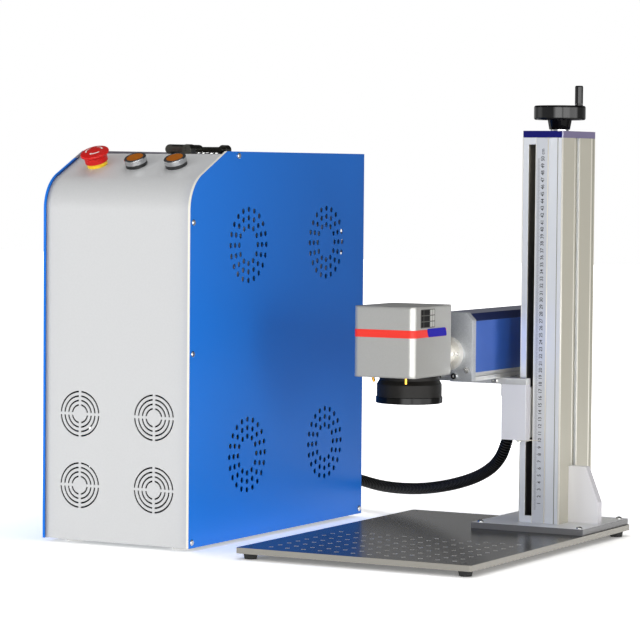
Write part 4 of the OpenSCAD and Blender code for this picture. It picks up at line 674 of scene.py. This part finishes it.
def plate_on_side(name, lift, y0, y1, z0, z1, radius, thick, foil, slant=0.0):
    """A rounded plate on the head's right side, lifted off it by a height. All sizes are in mm."""
    x = head_side + lift * MM
    y0, y1, z0, z1, radius, thick = (size * MM for size in (y0, y1, z0, z1, radius, thick))
    outline = []
    for cy, cz, start in ((y1 - radius, z1 - radius, 0), (y0 + radius, z1 - radius, 90),
                          (y0 + radius, z0 + radius, 180), (y1 - radius, z0 + radius, 270)):
        for k in range(CORNER_POINTS):
            turn = math.radians(start + 90 * k / (CORNER_POINTS - 1))
            y, z = cy + radius * math.cos(turn), cz + radius * math.sin(turn)
            outline.append((y - slant * (z - z0), z))
    count = len(outline)
    vertices = [(x, y, z) for y, z in outline] + [(x + thick, y, z) for y, z in outline]
    faces = [tuple(range(count - 1, -1, -1)), tuple(range(count, 2 * count))]
    faces += [(i, (i + 1) % count, (i + 1) % count + count, i + count) for i in range(count)]
    return mesh_object(name, vertices, faces, finishes[foil])


plates = [
    plate_on_side("blue_tag", 0.3, -121, -64, 297.3, 309.0, 3.2, 0.35, "blue_printed_foil", slant=0.35),
    plate_on_side("dark_plate", 0.0, -144, -101, 310.2, 335.8, 1.6, 0.3, "dark_printed_foil")]
# The dark plate's cells stand in three rows and four columns: where each column starts, and its width.
CELL_COLUMNS = ((-142.8, 7.0, "black_cell_foil"), (-134.4, 17.0, "black_cell_foil"),
                (-115.6, 6.4, "pale_cell_foil"), (-108.0, 5.4, "pale_cell_foil"))
CELL_ROWS, FIRST_ROW, ROW_PITCH, CELL_HEIGHT = 3, 311.4, 8.2, 7.0
for start, wide, foil in CELL_COLUMNS:
    for row in range(CELL_ROWS):
        low = FIRST_ROW + ROW_PITCH * row
        plates.append(plate_on_side("cell_%d" % len(plates), 0.3, start, start + wide,
                                    low, low + CELL_HEIGHT, 0.6, 0.1, foil))
for piece in plates:
    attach(piece, "arm")
print("plates:", len(plates))

# %% [markdown]
# ## Arrows on the emergency stop
# Three white arcs with arrow heads show which way the head is turned to let it go. They lie on the crowned
# top, so each point of the flat drawing is dropped along the button's axis until it meets the red cap.

# %% Stop arrows
finish("white_print", "#f2f0ec", 0.4, grain=1, depth=0.003, edge=0.05)
STOP_FOOT, STOP_TILT = Vector((-291.4, -217, 528.942)) * MM, math.radians(26)
ABOVE_CAP, INK_LIFT = 60, 0.06 * MM
# Radii in mm round the stop's axis, and angles in degrees.
ARROWS, ARC_STEPS, ARC_STEP, FIRST_ARC = 3, 12, 5, 100
ARC_INNER, ARC_OUTER = 10.6, 12.6
TIP_INNER, TIP_OUTER, TIP_POINT, TIP_LENGTH = 9.2, 14.0, 11.6, 16
stop_place = Matrix.Translation(STOP_FOOT) @ Matrix.Rotation(STOP_TILT, 4, "X")
stop_axis = (stop_place.to_3x3() @ Vector((0, 0, 1))).normalized()
cap_surface = BVHTree.FromObject(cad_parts["stop_head"], bpy.context.evaluated_depsgraph_get())
arrow_vertices, arrow_faces = [], []


def on_crown(radius, turn):
    start = stop_place @ (Vector((radius * math.cos(turn), radius * math.sin(turn), ABOVE_CAP)) * MM)
    return cap_surface.ray_cast(start, -stop_axis)[0] + stop_axis * INK_LIFT


def arrow_face(*corners):
    """Each corner is a radius in mm and an angle."""
    first = len(arrow_vertices)
    arrow_vertices.extend(on_crown(radius, turn) for radius, turn in corners)
    arrow_faces.append(tuple(range(first, first + len(corners))))


for k in range(ARROWS):
    start = math.radians(FIRST_ARC + 360 / ARROWS * k)
    for i in range(ARC_STEPS):
        a, b = start - math.radians(ARC_STEP * i), start - math.radians(ARC_STEP * (i + 1))
        arrow_face((ARC_INNER, a), (ARC_OUTER, a), (ARC_OUTER, b), (ARC_INNER, b))
    tip = start - math.radians(ARC_STEP * ARC_STEPS)
    arrow_face((TIP_INNER, tip), (TIP_OUTER, tip), (TIP_POINT, tip - math.radians(TIP_LENGTH)))
arrows = mesh_object("stop_arrows", arrow_vertices, arrow_faces, finishes["white_print"])
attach(arrows, "stop_mushroom")
print("arrow faces:", len(arrow_faces))

# %% [markdown]
# ## The studio
# A white sweep and big soft lamps, as in a product photograph: a cool one from the front left, a small one
# above the camera, a warm one from the right and a wide one from the top. The camera sees the floor
# brighter than it is, and glowing further out, so that it ends in white and still takes a soft shadow near
# the machine. Every other ray sees a plain pale floor, of which only the near part shows in mirrors.

# %% Floor
FLOOR_HALF, MIRRORED_WITHIN = 12, 1.4
GLOW_FROM, GLOW_TO, GLOW_NEAR, GLOW_FAR = 0.6, 1.8, 0.1, 1.0


def grey(level):
    return (level, level, level, 1)


floor_material, tree = empty_material("white_sweep")
path = add(tree, "LightPath").outputs
bounce = add(tree, "BsdfDiffuse", {"Color": grey(0.95)})
own_light = add(tree, "Emission", {"Strength": 0.6})
pale = add(tree, "AddShader", {0: bounce.outputs[0], 1: own_light.outputs[0]})
# Two diffuse layers together send back 1.6 times the light that falls on them.
full, half = add(tree, "BsdfDiffuse", {"Color": grey(1)}), add(tree, "BsdfDiffuse", {"Color": grey(0.6)})
more = add(tree, "AddShader", {0: full.outputs[0], 1: half.outputs[0]})
position = add(tree, "NewGeometry").outputs["Position"]
away = add(tree, "VectorMath", {0: position}, operation="LENGTH").outputs["Value"]
outward = ramp(tree, away, GLOW_FROM, GLOW_TO, GLOW_NEAR, GLOW_FAR)
glow = add(tree, "Emission", {"Color": grey(1), "Strength": outward})
lit = add(tree, "AddShader", {0: more.outputs[0], 1: glow.outputs[0]})
both = add(tree, "MixShader", {0: path["Is Camera Ray"], 1: pale.outputs[0], 2: lit.outputs[0]})
skipped = math_node(tree, "MULTIPLY", path["Is Glossy Ray"], above(tree, away, MIRRORED_WITHIN))
clear = add(tree, "BsdfTransparent")
through = add(tree, "MixShader", {0: skipped, 1: both.outputs[0], 2: clear.outputs[0]})
add(tree, "OutputMaterial", {"Surface": through.outputs[0]})
corners = [(x * FLOOR_HALF, y * FLOOR_HALF, 0) for x, y in ((-1, -1), (1, -1), (1, 1), (-1, 1))]
floor = mesh_object("floor", corners, [(0, 1, 2, 3)], floor_material)

# %% [markdown]
# The world is what shiny surfaces mirror: white panels round the object, set by their direction in degrees
# (0 is the front, 90 the right, and the camera stands near 29). The brightest is behind the camera, from 8
# to 32 degrees, and the next two are to its right. They draw the highlights on rounded edges and on the
# handwheel. All are low strips at the height of the machine: above and below they fall to a tenth. The
# camera sees plain white, and what isn't a mirror takes a soft light that is weaker from above.

# %% World
world = bpy.data.worlds.new("studio")
world.use_nodes = True
tree = world.node_tree
tree.nodes.clear()
path = add(tree, "LightPath").outputs
toward = split(tree, "TexCoord", "Generated")
angle = math_node(tree, "ARCTAN2", toward["X"], math_node(tree, "MULTIPLY", toward["Y"], -1.0))
panels = add(tree, "ValToRGB", {"Fac": ramp(tree, angle, -math.pi, math.pi)})
BRIGHTEST, DARK_SHARE = 10.0, 0.1
STRIP_EDGE, STRIP_END = 0.09, 0.19
# Each stop is a direction in degrees and the light that comes from there.
STOPS = [(-180, 0.5), (-165, 0.65), (-110, 0.65), (-100, 0.35), (-76, 2.0), (-66, 2.0), (-58, 0.9),
         (-6, 0.95), (8, 10.0), (32, 10.0), (36, 3.0), (41, 9.0), (64, 9.0), (72, 6.0), (102, 6.0),
         (112, 0.7), (135, 0.35), (180, 0.35)]
panels.color_ramp.elements[0].color = grey(STOPS[0][1] / BRIGHTEST)
panels.color_ramp.elements[1].color = grey(STOPS[-1][1] / BRIGHTEST)
for degrees, level in STOPS[1:-1]:
    panels.color_ramp.elements.new((degrees + 180) / 360).color = grey(level / BRIGHTEST)
steep = math_node(tree, "ABSOLUTE", toward["Z"])
fall = ramp(tree, steep, STRIP_EDGE, STRIP_END, BRIGHTEST, DARK_SHARE * BRIGHTEST)
mirrored = add(tree, "Background", {"Color": panels.outputs["Color"], "Strength": fall})
weaker_above = ramp(tree, toward["Z"], 0.0, 0.8, 0.71, 0.34)
ambient = add(tree, "Background", {"Color": grey(1), "Strength": weaker_above})
white = add(tree, "Background", {"Color": grey(1), "Strength": 1.0})
plain = add(tree, "MixShader", {0: path["Is Glossy Ray"], 1: ambient.outputs[0], 2: mirrored.outputs[0]})
seen = math_node(tree, "MAXIMUM", path["Is Camera Ray"], path["Is Transmission Ray"])
both = add(tree, "MixShader", {0: seen, 1: plain.outputs[0], 2: white.outputs[0]})
add(tree, "OutputWorld", {"Surface": both.outputs[0]})
bpy.context.scene.world = world
print("stops in the world's ring of panels:", len(STOPS))


# %% Lamps
def lamp(name, at, toward, width, height, power, tint):
    light = bpy.data.lights.new(name, "AREA")
    light.shape, light.size, light.size_y, light.energy = "RECTANGLE", width, height, power
    light.color = colour(tint)[:3]
    piece = bpy.data.objects.new(name, light)
    bpy.context.scene.collection.objects.link(piece)
    piece.location = at
    piece.rotation_euler = (Vector(toward) - Vector(at)).to_track_quat("-Z", "Y").to_euler()
    piece.visible_glossy = False


lamp("key", (-2.3, -2.7, 0.6), (0, 0, 0.24), 2.0, 1.2, 26.5, "#fbfdff")
lamp("camera_side", (1.5, -3.0, 1.3), (0.1, 0, 0.3), 0.9, 0.9, 9, "#ffffff")
lamp("right", (3.1, -1.15, 0.5), (0.1, 0, 0.15), 1.0, 0.9, 20.5, "#fff6e6")
lamp("top", (-0.3, 0.9, 2.6), (0.1, 0, 0), 2.0, 2.0, 21, "#ffffff")
bpy.context.scene.view_settings.view_transform = "Standard"
